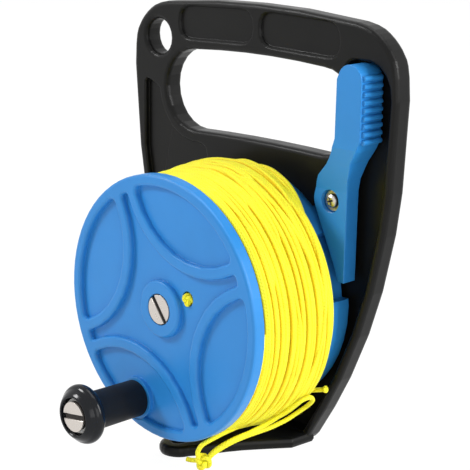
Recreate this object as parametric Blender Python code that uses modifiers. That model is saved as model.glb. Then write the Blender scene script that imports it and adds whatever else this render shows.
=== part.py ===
"""A dive reel: a handled frame, a line spool with a crank knob, and a lever that locks the spool.

Everything is modelled in the reel's own frame, which the empty reel_origin holds: the origin is on the
spool's axis at the front flange's face, X is to the right, Y goes to the back and Z is up.
"""
import math

import bmesh
import bpy
from mathutils import Matrix, Vector

# Clearances and overlaps, in metres
GAP = 0.0003
SINK = 0.0012
OVERRUN = 0.002
CHAMFER_BITE = 0.00005

# Main radii, which the frame follows
FLANGE_RADIUS = 0.069
REAR_STEP = 0.0064
REAR_RADIUS = FLANGE_RADIUS - REAR_STEP

# Lever's span, from its tip beside the rear flange to the side
LEVER_TIP_GAP = 0.0001
LEVER_TIP_SHARE = 0.778
LEVER_SPAN = 0.0806
LEVER_WIDTH = REAR_RADIUS + LEVER_TIP_GAP + (1 - LEVER_TIP_SHARE) * LEVER_SPAN
LEVER_TO_SIDE = 0.0152

# Frame
ARM_THICKNESS = 0.006
SPOOL_FOOT_GAP = 0.005
HOLE_LOW_WALL = 0.0081
HOLE_END_RADIUS = 0.0219
GRIP_BAR_WIDTH = 0.0279
AXIS_HEIGHT = ARM_THICKNESS + SPOOL_FOOT_GAP + FLANGE_RADIUS
HOLE_CENTRE_HEIGHT = FLANGE_RADIUS + HOLE_LOW_WALL + HOLE_END_RADIUS
FRAME_TOP = HOLE_CENTRE_HEIGHT + HOLE_END_RADIUS + GRIP_BAR_WIDTH
FRAME_HEIGHT = AXIS_HEIGHT + FRAME_TOP
FRAME_HALF_WIDTH = LEVER_WIDTH + LEVER_TO_SIDE
FRAME_FRONT = 0.0684
FRAME_BACK = 0.0798
FRAME_EDGE = 0.0024
RIM_WIDTH = 0.004
WELL_FLOOR = 0.077
WELL_CLEARANCE = 0.0016
WELL_LEVER_GAP = 0.0014
WELL_HEAD_ROUND = 0.0152
WELL_HEAD_DROP = 0.0173
WELL_LIP_HEIGHT = 0.0055
WELL_LEFT_TOP = -0.010
POCKET_CHAMFER = 0.0008
FRAME_SIDE_SHARES = (
    (0.388, 0.009), (0.430, 0.031), (0.471, 0.057), (0.589, 0.138), (0.683, 0.2155),
    (0.761, 0.289), (0.824, 0.361), (0.874, 0.429), (0.914, 0.496), (0.945, 0.562), (0.967, 0.625),
    (0.984, 0.721), (0.998, 0.800), (1.0, 0.848), (0.985, 0.899), (0.960, 0.922), (0.921, 0.943),
    (0.861, 0.964), (0.783, 0.979), (0.626, 0.989), (0.313, 0.9975),
)
FRAME_FOOT_SHARE = 0.324

# Hand hole
HOLE_SIDE_WALL = 0.0269
HOLE_HALF_WIDTH = FRAME_HALF_WIDTH - HOLE_SIDE_WALL
HOLE_TOP_RISE = 0.0018
HOLE_BOTTOM_RISE = 0.0009

# Lanyard hole
LANYARD_RADIUS = 0.0097
LANYARD_FROM_SIDE = 0.0203
LANYARD_FROM_TOP = 0.0233

# Shallow pockets of the frame's face
GRIP_POCKET_DEPTH = 0.002
GRIP_POCKET_INNER = 0.003
GRIP_POCKET_FROM_SIDE = 0.038
GRIP_POCKET_FROM_TOP = 0.0036
GRIP_POCKET_HEIGHT = 0.018
GRIP_POCKET_DROP = 0.0016
GRIP_POCKET_CORNER = 0.0082
GRIP_POCKET_CHAMFER = 0.0012
BACK_POCKET_DEPTH = 0.0055
SIDE_POCKET_DEPTH = 0.003
PANEL_DEPTH = 0.0018
SIDE_POCKET_RIM = 0.0055
SIDE_POCKET_FROM_TOP = 0.0473
SIDE_POCKET_TOP_ROUND = 0.0046
SIDE_POCKET_LOW = 0.012
HOLE_RING_WIDTH = 0.006
STEP_TOP_ANGLE = math.radians(227)
STEP_LOW_FROM_SIDE = 0.0213
STEP_LOW_Z = 0.045
STEP_END_FROM_SIDE = 0.0223
PANEL_FROM_SIDE = 0.0584
PANEL_CORNER_LOW = 0.065
PANEL_LOW = 0.029
PANEL_LAP = 0.003
PANEL_SHRINK = 0.0004

# Foot arm under the spool
ARM_EDGE = 0.0022
ARM_FRONT = 0.0028
ARM_LAP = 0.0051
ARM_ROOT_HALF_WIDTH = 0.0396
ARM_TIP_RADIUS = 0.0105
ARM_SIDE_SHARES = (
    (0.08, 0.29), (0.20, 0.355), (0.32, 0.445), (0.43, 0.545), (0.53, 0.655), (0.61, 0.76), (0.70, 0.885),
    (0.78, 0.985),
)
EYE_RADIUS = 0.004
EYE_FROM_TIP = 0.010

# Spool's front flange
FLANGE_THICKNESS = 0.00665
FLANGE_EDGE = 0.0014
POCKET_DEPTH = 0.003
FLANGE_BACK_RELIEF = 0.0003
FLANGE_FILL_INSET = 0.0025
LENS_AXIS = math.radians(70.3)
FLANGE_RIM = 0.0058
LENS_OUTER_RADIUS = FLANGE_RADIUS - FLANGE_RIM
LENS_CENTRE_OUTSIDE = 0.0117
LENS_CENTRE_DISTANCE = FLANGE_RADIUS + LENS_CENTRE_OUTSIDE
LENS_INNER_RADIUS = 0.0482
LENS_CORNER = 0.003
RIB_WIDTH = 0.0063
CROSS_END_WALL = 0.0075
CROSS_CORNER = 0.0015
HUB_FACE_RADIUS = 0.015
HUB_WALL = 0.0037
ANCHOR_HOLE_RADIUS = 0.0039
ANCHOR_HOLE_DISTANCE = 0.0206

# Spool's drum and rear flange
DRUM_RADIUS = 0.036
DRUM_WALL = 0.003
DRUM_RING_LENGTH = 0.003
REAR_FRONT = 0.0578
REAR_WEB = 0.0035
REAR_BACK = 0.0745
REAR_EDGE = 0.0008
SKIRT_WALL = 0.0081
NOTCH_COUNT = 4
NOTCH_DEPTH = 0.0054
NOTCH_START = math.radians(3.6)
NOTCH_WIDTH = math.radians(33)
HUB_SPLIT = 0.0205
GUSSET_COUNT = 6
GUSSET_WIDTH = 0.0022
GUSSET_HEIGHT = 0.009
SPOOL_SCREW_COUNT = 3
SPOOL_SCREW_DISTANCE = 0.024
SPOOL_SCREW_RADIUS = 0.0016
SPOOL_SCREW_HEAD_RADIUS = 0.0032
SPOOL_SCREW_HEAD = 0.0022
SPOOL_SCREW_LENGTH = 0.036
SPOOL_POST_RADIUS = 0.0040
SPOOL_POST_SPLIT = 0.030
SPOOL_SCREW_ANGLE = math.radians(100)

# Axle: a barrel from the back and a slotted screw from the front
BARREL_RADIUS = 0.005
AXLE_HEAD_RADIUS = 0.008
HEAD_THICKNESS = 0.003
HEAD_PROUD = 0.0012
AXLE_THREAD_RADIUS = 0.0027
AXLE_THREAD_LENGTH = 0.022
AXLE_WASHER = 0.0016
BARREL_HEAD_RADIUS = 0.009
BARREL_HEAD = 0.0026
SLOT_WIDTH = 0.002
SLOT_DEPTH = 0.0014
AXLE_SLOT_ANGLE = math.radians(127)
HUB_BOSS_RADIUS = 0.014
HUB_BOSS_FRONT = 0.0663
DRAG_WASHER = 0.001
DRAG_WASHER_RADIUS = 0.0125
SPRING_WASHER = 0.0009
SPRING_WASHER_DISH = 0.0008
SPRING_WASHER_RADIUS = 0.0108

# Crank knob
CRANK_FROM_RIM = 0.0136
CRANK_ANGLE = math.radians(-110.2)
CRANK_BOSS_RADIUS = 0.011
CRANK_BOSS_DROP = 0.0005
KNOB_LENGTH = 0.0417
KNOB_BASE_RADIUS = 0.0097
KNOB_NECK_RADIUS = 0.0100
KNOB_RADIUS = 0.0155
KNOB_ROUND_RADIUS = 0.0038
KNOB_CROWN_LENGTH = 0.0352
KNOB_FACE_RADIUS = 0.0109
KNOB_WELL_RADIUS = 0.0098
KNOB_WELL_DEPTH = 0.0045
POST_RADIUS = 0.004
POST_HEAD_RADIUS = 0.007
POST_HEAD = 0.0024
CRANK_SCREW_HEAD_RADIUS = 0.008
CRANK_SCREW_PROUD = 0.0004
CRANK_THREAD_RADIUS = 0.0023
CRANK_THREAD_LENGTH = 0.020
CRANK_WASHER_RADIUS = 0.0092
CRANK_SLOT_ANGLE = math.radians(8)

# Lock lever
LEVER_FRONT = 0.0650
LEVER_BACK = 0.0737
LEVER_HEAD_FRONT = 0.0600
LEVER_HEAD_BACK = 0.0757
LEVER_EDGE = 0.0010
LEVER_FROM_TOP = 0.0229
LEVER_TOP = FRAME_TOP - LEVER_FROM_TOP
LEVER_TOP_RADIUS = 0.0077
LEVER_SLOPE_SHARES = (0.4845, 0.6672)
LEVER_BACK_SHARES = (0.5401, 0.6195)
LEVER_PIVOT_SHARES = (0.7022, 0.43765)
LEVER_OUTLINE_SHARES = (
    (0.778, 0.115), (0.825, 0.113), (0.838, 0.318), (0.844, 0.488), (0.860, 0.536), (0.902, 0.610),
    (0.958, 0.660), (0.994, 0.704),
)
LEVER_INNER_SHARES = (
    (0.788, 0.704), (0.757, 0.650), (0.700, 0.593), (0.615, 0.539), (0.581, 0.481),
    (0.566, 0.444), (0.576, 0.408), (0.622, 0.340), (0.684, 0.257), (0.733, 0.188),
)
LEVER_NECK_SHARE = 0.800
LEVER_BACK_SWING = math.radians(2)
LEVER_RIB_COUNT = 9
LEVER_RIB_PITCH = 0.0039
LEVER_RIB_LOW_SHARE = 0.7022
LEVER_RIB_RADIUS = 0.0014
LEVER_RIB_PROUD = 0.0002
LEVER_RIB_INSET = 0.0012
LEVER_SCREW_WELL_RADIUS = 0.0059
LEVER_SCREW_WELL = 0.0035
LEVER_BUSH_RADIUS = 0.004
LEVER_SCREW_RADIUS = 0.002
LEVER_SCREW_HEAD_RADIUS = 0.00365
LEVER_SCREW_HEAD = 0.0022
LEVER_SCREW_LENGTH = 0.0110
LEVER_WASHER_RADIUS = 0.0054
LEVER_WASHER = 0.0008
CROSS_SLOT = 0.0009
CROSS_SLOT_LENGTH = 0.0040
CROSS_SLOT_DEPTH = 0.0013
LEVER_BOSS_RADIUS = 0.0075
LEVER_SCREW_FLOOR = 0.0008

# Line
LINE_DIAMETER = 0.0024
LOOP_COUNT = 17
POINTS_PER_LOOP = 24
LAYER_DROP = 0.0022
CORE_BACK = 0.0575
CORE_FLANK = 0.0546
CORE_FLANK_RADIUS = 0.0612
WINDING_FRONT = 0.0083
WINDING_BACK = 0.0563
WINDING_PROUD = 0.0015
WINDING_RADIUS = FLANGE_RADIUS + WINDING_PROUD
WINDING_SHARES = (
    (0.0, 0.949), (0.14, 0.955), (0.28, 0.961), (0.42, 0.970), (0.56, 0.980), (0.70, 0.990), (0.84, 0.998),
    (0.93, 0.999), (0.975, 0.985), (0.995, 0.962), (1.0, 0.935), (1.0, 0.912),
)
KNOT_RADIUS = 0.0031
KNOT_LINE_RADIUS = 0.0013
KNOT_STRETCH = 1.15
ANCHOR_KNOT_RADIUS = 0.0021

# Round shapes
LARGE_ROUND = 42
MEDIUM_ROUND = 20
SMALL_ROUND = 16
FINE_TURN = math.radians(4.5)

# Points of the free line, in millimetres in the reel's frame, chosen along the photographed route
MILLIMETRE = 0.001
STANDING_LINE_ROUTE = (
    (33.3, 34.0, -63.5), (33.1, 30.0, -63.1), (32.6, 26.0, -63.0), (32.4, 20.5, -62.8), (32.4, 14.5, -62.9),
    (31.9, 8.5, -63.7), (30.8, 4.0, -65.0), (29.3, 1.8, -66.7), (28.1, 0.8, -69.2), (27.7, 0.7, -70.6),
)
LOOP_LINE_ROUTE = (
    (30.8, 8.2, -72.6), (33.1, 13.0, -69.6), (34.9, 18.0, -67.9), (36.3, 22.4, -66.6), (37.1, 26.2, -66.3),
    (38.0, 30.0, -66.0), (38.8, 33.8, -65.6), (39.7, 37.6, -64.9), (40.3, 41.0, -64.4), (41.2, 44.5, -63.4),
    (42.7, 47.8, -62.2), (44.5, 50.6, -60.5), (46.8, 53.0, -58.2), (49.5, 55.0, -55.3), (52.5, 55.9, -52.3),
    (56.3, 55.8, -49.2), (57.9, 53.2, -47.0), (57.4, 49.5, -46.6), (55.1, 47.0, -48.2), (51.4, 46.2, -52.3),
    (47.2, 44.0, -56.0), (44.4, 42.2, -58.1), (42.1, 39.8, -59.9), (40.2, 37.0, -61.5), (39.2, 33.4, -62.6),
    (39.0, 29.0, -63.1), (39.0, 24.4, -63.5), (38.8, 20.0, -64.0), (37.8, 15.2, -65.1), (35.8, 10.4, -67.0),
    (32.8, 6.2, -70.4),
)
LINE_END_ROUTE = (
    (45.4, 59.2, -47.3), (49.0, 60.2, -46.4), (52.5, 61.2, -45.6), (56.0, 62.3, -44.8), (57.2, 63.0, -44.3),
)
TAIL_ROUTE = ((24.2, 2.9, -76.4), (21.0, 2.0, -77.0), (18.9, 1.2, -76.9))
KNOT_PLACE = (29.2, 3.4, -75.2)


def clear_scene():
    for thing in list(bpy.data.objects):
        bpy.data.objects.remove(thing, do_unlink=True)


def new_collection(name, hidden=False):
    made = bpy.data.collections.new(name)
    bpy.context.scene.collection.children.link(made)
    made.hide_render = hidden
    return made


def new_empty(name, place, parent=None):
    empty = bpy.data.objects.new(name, None)
    empty.location = place
    empty.parent = parent
    empty.empty_display_size = HUB_FACE_RADIUS
    PARTS.objects.link(empty)
    return empty


def paint(name, colour, roughness, metallic=0.0):
    made = bpy.data.materials.new(name)
    made.use_nodes = True
    shader = made.node_tree.nodes["Principled BSDF"]
    shader.inputs["Base Color"].default_value = (*colour, 1.0)
    shader.inputs["Roughness"].default_value = roughness
    shader.inputs["Metallic"].default_value = metallic
    made.diffuse_color = (*colour, 1.0)
    return made


# Plane outlines: points are (x, z) in the reel's frame
def arc(centre, radius, start, end, count):
    """Points from angle start to end, both included."""
    points = []
    for step in range(count + 1):
        angle = start + (end - start) * step / count
        points.append((centre[0] + radius * math.cos(angle), centre[1] + radius * math.sin(angle)))
    return points


def circle(centre, radius, count):
    return arc(centre, radius, 0, 2 * math.pi * (count - 1) / count, count - 1)


def polar(radius, angle):
    return radius * math.cos(angle), radius * math.sin(angle)


def rounded(corners, radius, steps=4):
    """A polygon with each corner replaced by a curve that starts and ends a radius away from it."""
    points = []
    for index, corner in enumerate(corners):
        here = Vector(corner)
        before = Vector(corners[index - 1]) - here
        after = Vector(corners[(index + 1) % len(corners)]) - here
        reach = min(radius, before.length / 2, after.length / 2)
        first = here + before.normalized() * reach
        last = here + after.normalized() * reach
        for step in range(steps + 1):
            t = step / steps
            point = first * (1 - t) ** 2 + here * 2 * t * (1 - t) + last * t ** 2
            points.append(tuple(point))
    return points


def smooth(points, steps=2, closed=False):
    """A Catmull-Rom curve through points of any dimension."""
    count = len(points)
    spans = count if closed else count - 1
    made = []
    for index in range(spans):
        four = []
        for offset in (-1, 0, 1, 2):
            place = index + offset
            place = place % count if closed else min(max(place, 0), count - 1)
            four.append(Vector(points[place]))
        for step in range(steps):
            t = step / steps
            point = (
                four[0] * (-t ** 3 + 2 * t ** 2 - t)
                + four[1] * (3 * t ** 3 - 5 * t ** 2 + 2)
                + four[2] * (-3 * t ** 3 + 4 * t ** 2 + t)
                + four[3] * (t ** 3 - t ** 2)
            ) / 2
            made.append(tuple(point))
    if not closed:
        made.append(tuple(points[-1]))
    return made


def evenly(points, spacing):
    """Points along a polyline, about a spacing apart, with both ends kept."""
    places = [Vector(point) for point in points]
    lengths = [0.0]
    for before, after in zip(places, places[1:]):
        lengths.append(lengths[-1] + (after - before).length)
    count = max(2, round(lengths[-1] / spacing))
    made = []
    span = 0
    for step in range(count + 1):
        reach = lengths[-1] * step / count
        while span < len(places) - 2 and lengths[span + 1] < reach:
            span += 1
        share = (reach - lengths[span]) / (lengths[span + 1] - lengths[span])
        made.append(places[span].lerp(places[span + 1], share))
    return made


def thinned(points, least):
    """An open outline without the points before which it has turned by less than an angle."""
    made = [points[0]]
    turned_by = 0.0
    for before, point, after in zip(points, points[1:], points[2:]):
        turned_by += (Vector(point) - Vector(before)).angle(Vector(after) - Vector(point))
        if turned_by > least:
            made.append(point)
            turned_by = 0.0
    return made + [points[-1]]


def inset(points, distance):
    """The closed outline moved inwards, for one that runs anticlockwise."""
    made = []
    for index, point in enumerate(points):
        along = Vector(points[(index + 1) % len(points)]) - Vector(points[index - 1])
        along.normalize()
        made.append((point[0] - along.y * distance, point[1] + along.x * distance))
    return made


# Solids
def add_object(name, mesh, collection=None, material=None, parent=None):
    made = bpy.data.objects.new(name, mesh)
    (collection or CUTTERS).objects.link(made)
    made.parent = parent
    if material:
        made.data.materials.append(material)
    return made


def baked(thing):
    """Replaces the object's mesh with its evaluated one, closed and facing out."""
    bpy.context.view_layer.update()
    graph = bpy.context.evaluated_depsgraph_get()
    mesh = bpy.data.meshes.new_from_object(thing.evaluated_get(graph))
    form = bmesh.new()
    form.from_mesh(mesh)
    bmesh.ops.remove_doubles(form, verts=form.verts, dist=1e-6)
    bmesh.ops.recalc_face_normals(form, faces=form.faces)
    form.to_mesh(mesh)
    form.free()
    thing.modifiers.clear()
    thing.data = mesh
    return thing


def plate(name, outlines, front, back, edge=0.0, edge_steps=1, up=False):
    """Flat outlines, the first the outer one, as a solid from front to back, with rounded edges.

    The outlines lie in the XZ plane, or in the XY plane when up is set.
    """
    curve = bpy.data.curves.new(name, "CURVE")
    curve.dimensions = "2D"
    curve.fill_mode = "BOTH"
    for index, outline in enumerate(outlines):
        area = sum(a[0] * b[1] - b[0] * a[1] for a, b in zip(outline, outline[1:] + outline[:1]))
        if (area > 0) != (index == 0):
            outline = outline[::-1]
        spline = curve.splines.new("POLY")
        spline.points.add(len(outline) - 1)
        for point, place in zip(spline.points, outline):
            point.co = (place[0], place[1], 0, 1)
        spline.use_cyclic_u = True
    curve.extrude = (back - front) / 2 - edge
    curve.bevel_depth = edge
    curve.bevel_resolution = edge_steps
    curve.offset = -edge
    drawn = bpy.data.objects.new(name, curve)
    CUTTERS.objects.link(drawn)
    baked_mesh = bpy.data.meshes.new_from_object(evaluated(drawn))
    bpy.data.objects.remove(drawn, do_unlink=True)
    middle = (front + back) / 2
    turn = Matrix.Identity(4) if up else Matrix.Rotation(math.pi / 2, 4, "X")
    move = Matrix.Translation((0, 0, middle) if up else (0, middle, 0))
    baked_mesh.transform(move @ turn)
    return baked(add_object(name, baked_mesh))


def evaluated(thing):
    bpy.context.view_layer.update()
    return thing.evaluated_get(bpy.context.evaluated_depsgraph_get())


def chamfer(name, outline, level, width):
    """A cutter that takes a chamfer off the rim of an opening whose outline lies at this level."""
    curve = bpy.data.curves.new(name, "CURVE")
    curve.dimensions = "2D"
    curve.fill_mode = "BOTH"
    area = sum(a[0] * b[1] - b[0] * a[1] for a, b in zip(outline, outline[1:] + outline[:1]))
    spline = curve.splines.new("POLY")
    spline.points.add(len(outline) - 1)
    for point, place in zip(spline.points, outline if area > 0 else outline[::-1]):
        point.co = (place[0], place[1], 0, 1)
    spline.use_cyclic_u = True
    curve.bevel_depth = width
    curve.bevel_resolution = 0
    curve.offset = -CHAMFER_BITE
    drawn = bpy.data.objects.new(name, curve)
    CUTTERS.objects.link(drawn)
    mesh = bpy.data.meshes.new_from_object(evaluated(drawn))
    bpy.data.objects.remove(drawn, do_unlink=True)
    mesh.transform(Matrix.Translation((0, level, 0)) @ Matrix.Rotation(math.pi / 2, 4, "X"))
    return baked(add_object(name, mesh))


def turned(name, profile, steps, centre=(0, 0), closed=True):
    """A profile of (y, radius) points, turned round the Y axis through centre."""
    mesh = bpy.data.meshes.new(name)
    edges = [(index, index + 1) for index in range(len(profile) - 1)]
    if closed:
        edges.append((len(profile) - 1, 0))
    mesh.from_pydata([(radius, y, 0) for y, radius in profile], edges, [])
    thing = add_object(name, mesh)
    screw = thing.modifiers.new("Turn", "SCREW")
    screw.axis = "Y"
    screw.steps = steps
    screw.render_steps = steps
    screw.use_merge_vertices = True
    screw.merge_threshold = 1e-6
    baked(thing)
    if not closed:
        dissolve_poles(thing)
    thing.data.transform(Matrix.Translation((centre[0], 0, centre[1])))
    return thing


def dissolve_poles(thing):
    """Makes one flat face of each fan of triangles that meets on the axis."""
    form = bmesh.new()
    form.from_mesh(thing.data)
    poles = [point for point in form.verts if math.hypot(point.co.x, point.co.z) < 1e-7]
    bmesh.ops.dissolve_verts(form, verts=poles)
    form.to_mesh(thing.data)
    form.free()


def rod(name, radius, front, back, steps, centre=(0, 0)):
    return turned(name, [(front, 0), (front, radius), (back, radius), (back, 0)], steps, centre, closed=False)


def tube(name, radius, bore, front, back, steps, centre=(0, 0)):
    profile = [(front, bore), (front, radius), (back, radius), (back, bore)]
    return turned(name, profile, steps, centre)


def bar(name, low, high):
    """A box between two corners."""
    form = bmesh.new()
    bmesh.ops.create_cube(form, size=1)
    size = Vector(high) - Vector(low)
    middle = (Vector(high) + Vector(low)) / 2
    form.transform(Matrix.Translation(middle) @ Matrix.Diagonal((*size, 1)))
    mesh = bpy.data.meshes.new(name)
    form.to_mesh(mesh)
    form.free()
    return add_object(name, mesh)


def turn_mesh(thing, angle, centre=(0, 0)):
    """Turns the mesh about the Y axis through centre, from X towards Z."""
    there = Matrix.Translation((centre[0], 0, centre[1]))
    thing.data.transform(there @ Matrix.Rotation(-angle, 4, "Y") @ there.inverted())
    return thing


def boolean(thing, others, operation):
    for other in others:
        modifier = thing.modifiers.new(other.name, "BOOLEAN")
        modifier.operation = operation
        modifier.solver = "EXACT"
        modifier.object = other
        other.display_type = "WIRE"
        other.hide_render = True
    return baked(thing)


def cut(thing, *others):
    return boolean(thing, others, "DIFFERENCE")


def join(thing, *others):
    return boolean(thing, others, "UNION")


def finish(thing, name, material, joint_empty):
    """Makes a solid a part: its collection, its material, smooth shading, and an origin on its joint's axis."""
    CUTTERS.objects.unlink(thing)
    PARTS.objects.link(thing)
    thing.name = name
    thing.data.name = name
    offset = joint_empty.location if joint_empty.parent else Vector((0, 0, 0))
    thing.data.transform(Matrix.Translation(-offset))
    thing.parent = joint_empty
    thing.data.materials.clear()
    thing.data.materials.append(material)
    thing.data.shade_smooth()
    thing.data.set_sharp_from_angle(angle=math.radians(32))
    return thing


def line(name, route, diameter, sides=2):
    """A round cord along a polyline."""
    curve = bpy.data.curves.new(name, "CURVE")
    curve.dimensions = "3D"
    curve.bevel_depth = diameter / 2
    curve.bevel_resolution = sides
    curve.use_fill_caps = True
    spline = curve.splines.new("POLY")
    spline.points.add(len(route) - 1)
    for point, place in zip(spline.points, route):
        point.co = (*place, 1)
    drawn = bpy.data.objects.new(name, curve)
    CUTTERS.objects.link(drawn)
    mesh = bpy.data.meshes.new_from_object(evaluated(drawn))
    bpy.data.objects.remove(drawn, do_unlink=True)
    return baked(add_object(name, mesh))


# Frame
def frame_point(share):
    return share[0] * FRAME_HALF_WIDTH, share[1] * FRAME_HEIGHT - AXIS_HEIGHT


def frame_outline():
    foot = frame_point((FRAME_FOOT_SHARE, 0))
    top = frame_point((0, 1))
    side = smooth([foot] + [frame_point(share) for share in FRAME_SIDE_SHARES] + [top])
    side = thinned(side, FINE_TURN)
    return side + [(-x, z) for x, z in side[-2::-1]]


def hand_hole():
    end = HOLE_HALF_WIDTH - HOLE_END_RADIUS
    right = arc((end, HOLE_CENTRE_HEIGHT), HOLE_END_RADIUS, -math.pi / 2, math.pi / 2, 12)
    top = HOLE_CENTRE_HEIGHT + HOLE_END_RADIUS
    low = HOLE_CENTRE_HEIGHT - HOLE_END_RADIUS
    crown = []
    floor = []
    for share in (0.6, 0.2, -0.2, -0.6):
        rise = 1 - share ** 2
        crown.append((share * end, top + HOLE_TOP_RISE * rise))
        floor.append((-share * end, low + HOLE_BOTTOM_RISE * rise))
    left = [(-x, z) for x, z in right[::-1]]
    return right + crown + left + floor


def grip_pocket(side):
    outer = FRAME_HALF_WIDTH - GRIP_POCKET_FROM_SIDE
    high = FRAME_TOP - GRIP_POCKET_FROM_TOP
    low = high - GRIP_POCKET_HEIGHT
    corners = [
        (side * GRIP_POCKET_INNER, low + GRIP_POCKET_DROP / 2),
        (side * outer, low - GRIP_POCKET_DROP / 2),
        (side * outer, high - GRIP_POCKET_DROP),
        (side * GRIP_POCKET_INNER, high),
    ]
    return rounded(corners, GRIP_POCKET_CORNER)


def well_outline(edge):
    """The deep well: round the rear flange, along the rim below and right, and close round the lever's head."""
    floor = WELL_LIP_HEIGHT - AXIS_HEIGHT
    top = LEVER_TOP + WELL_LEVER_GAP
    right = [point for point in edge if point[0] > 0 and floor < point[1] < top - WELL_HEAD_DROP]
    left = [point for point in edge if point[0] < 0 and floor < point[1] < WELL_LEFT_TOP]
    side = right[-1][0]
    head = []
    for angle in (20, 40, 60, 80):
        turn = math.radians(angle)
        head.append((side - WELL_HEAD_ROUND * (1 - math.cos(turn)), top - WELL_HEAD_DROP * (1 - math.sin(turn))))
    inner = []
    for x, z in lever_inner_edge():
        swung = (z - PIVOT_Z) * math.tan(LEVER_BACK_SWING)
        inner.append((x - WELL_LEVER_GAP - swung, z + WELL_LEVER_GAP))
    radius = REAR_RADIUS + WELL_CLEARANCE
    start = math.atan2(inner[-1][1] - WELL_HEAD_ROUND / 4, inner[-1][0])
    crown = arc((0, 0), radius, start, math.pi, 16)
    return right + head + inner + crown + left


def side_pocket(edge):
    """The shallow pocket beside the hand hole's left end, down to a step line."""
    centre = (-(HOLE_HALF_WIDTH - HOLE_END_RADIUS), HOLE_CENTRE_HEIGHT)
    radius = HOLE_END_RADIUS + HOLE_RING_WIDTH
    ring = arc(centre, radius, math.radians(184), STEP_TOP_ANGLE, 8)
    high = FRAME_TOP - SIDE_POCKET_FROM_TOP
    under = high - SIDE_POCKET_TOP_ROUND
    low = [point for point in edge if point[0] < 0 and SIDE_POCKET_LOW < point[1] < under]
    top = rounded_top(low[0], ring[0], high)
    step = [
        (STEP_LOW_FROM_SIDE - FRAME_HALF_WIDTH, STEP_LOW_Z),
        (STEP_END_FROM_SIDE - FRAME_HALF_WIDTH, SIDE_POCKET_LOW),
    ]
    return top + ring + step + low[::-1]


def rounded_top(left, right, high):
    """The pocket's sloping top edge, from above the left point to the right one."""
    lean = (right[0] - left[0]) / 6
    return [
        (left[0] + lean / 4, high - lean),
        (left[0] + lean, high),
        (left[0] + 3 * lean, high - lean / 2),
        (left[0] + 5 * lean, high - 3 * lean / 2),
    ]


def panel_outline():
    """The shallower panel between the step line and the well."""
    centre = (-(HOLE_HALF_WIDTH - HOLE_END_RADIUS), HOLE_CENTRE_HEIGHT)
    radius = HOLE_END_RADIUS + HOLE_RING_WIDTH + PANEL_SHRINK
    ring = arc(centre, radius, STEP_TOP_ANGLE - math.radians(5), math.radians(274), 8)
    edge = PANEL_FROM_SIDE - FRAME_HALF_WIDTH
    corner = rounded_corner(ring[-1], (edge, PANEL_CORNER_LOW))
    left = STEP_LOW_FROM_SIDE - FRAME_HALF_WIDTH - PANEL_LAP
    return ring + corner + [(edge, PANEL_LOW - PANEL_LAP), (left, PANEL_LOW), (left, STEP_LOW_Z)]


def rounded_corner(first, last):
    corner = (last[0], first[1])
    points = []
    for t in (0.3, 0.5, 0.7, 1.0):
        point = Vector(first) * (1 - t) ** 2 + Vector(corner) * 2 * t * (1 - t) + Vector(last) * t ** 2
        points.append(tuple(point))
    return points


def arm_outline():
    """The foot arm's plan, in (x, y): a round tip that flares to the frame's foot."""
    root = FRAME_FRONT + ARM_LAP
    length = root - ARM_FRONT
    tip = (0, ARM_FRONT + ARM_TIP_RADIUS)
    right = []
    for along, width in ARM_SIDE_SHARES[1:]:
        right.append((width * ARM_ROOT_HALF_WIDTH, ARM_FRONT + along * length))
    right = thinned(smooth(right) + [(ARM_ROOT_HALF_WIDTH, root)], FINE_TURN)
    left = [(-x, y) for x, y in right[::-1]]
    return left + arc(tip, ARM_TIP_RADIUS, math.pi * 1.06, math.pi * 1.94, 10) + right


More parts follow.
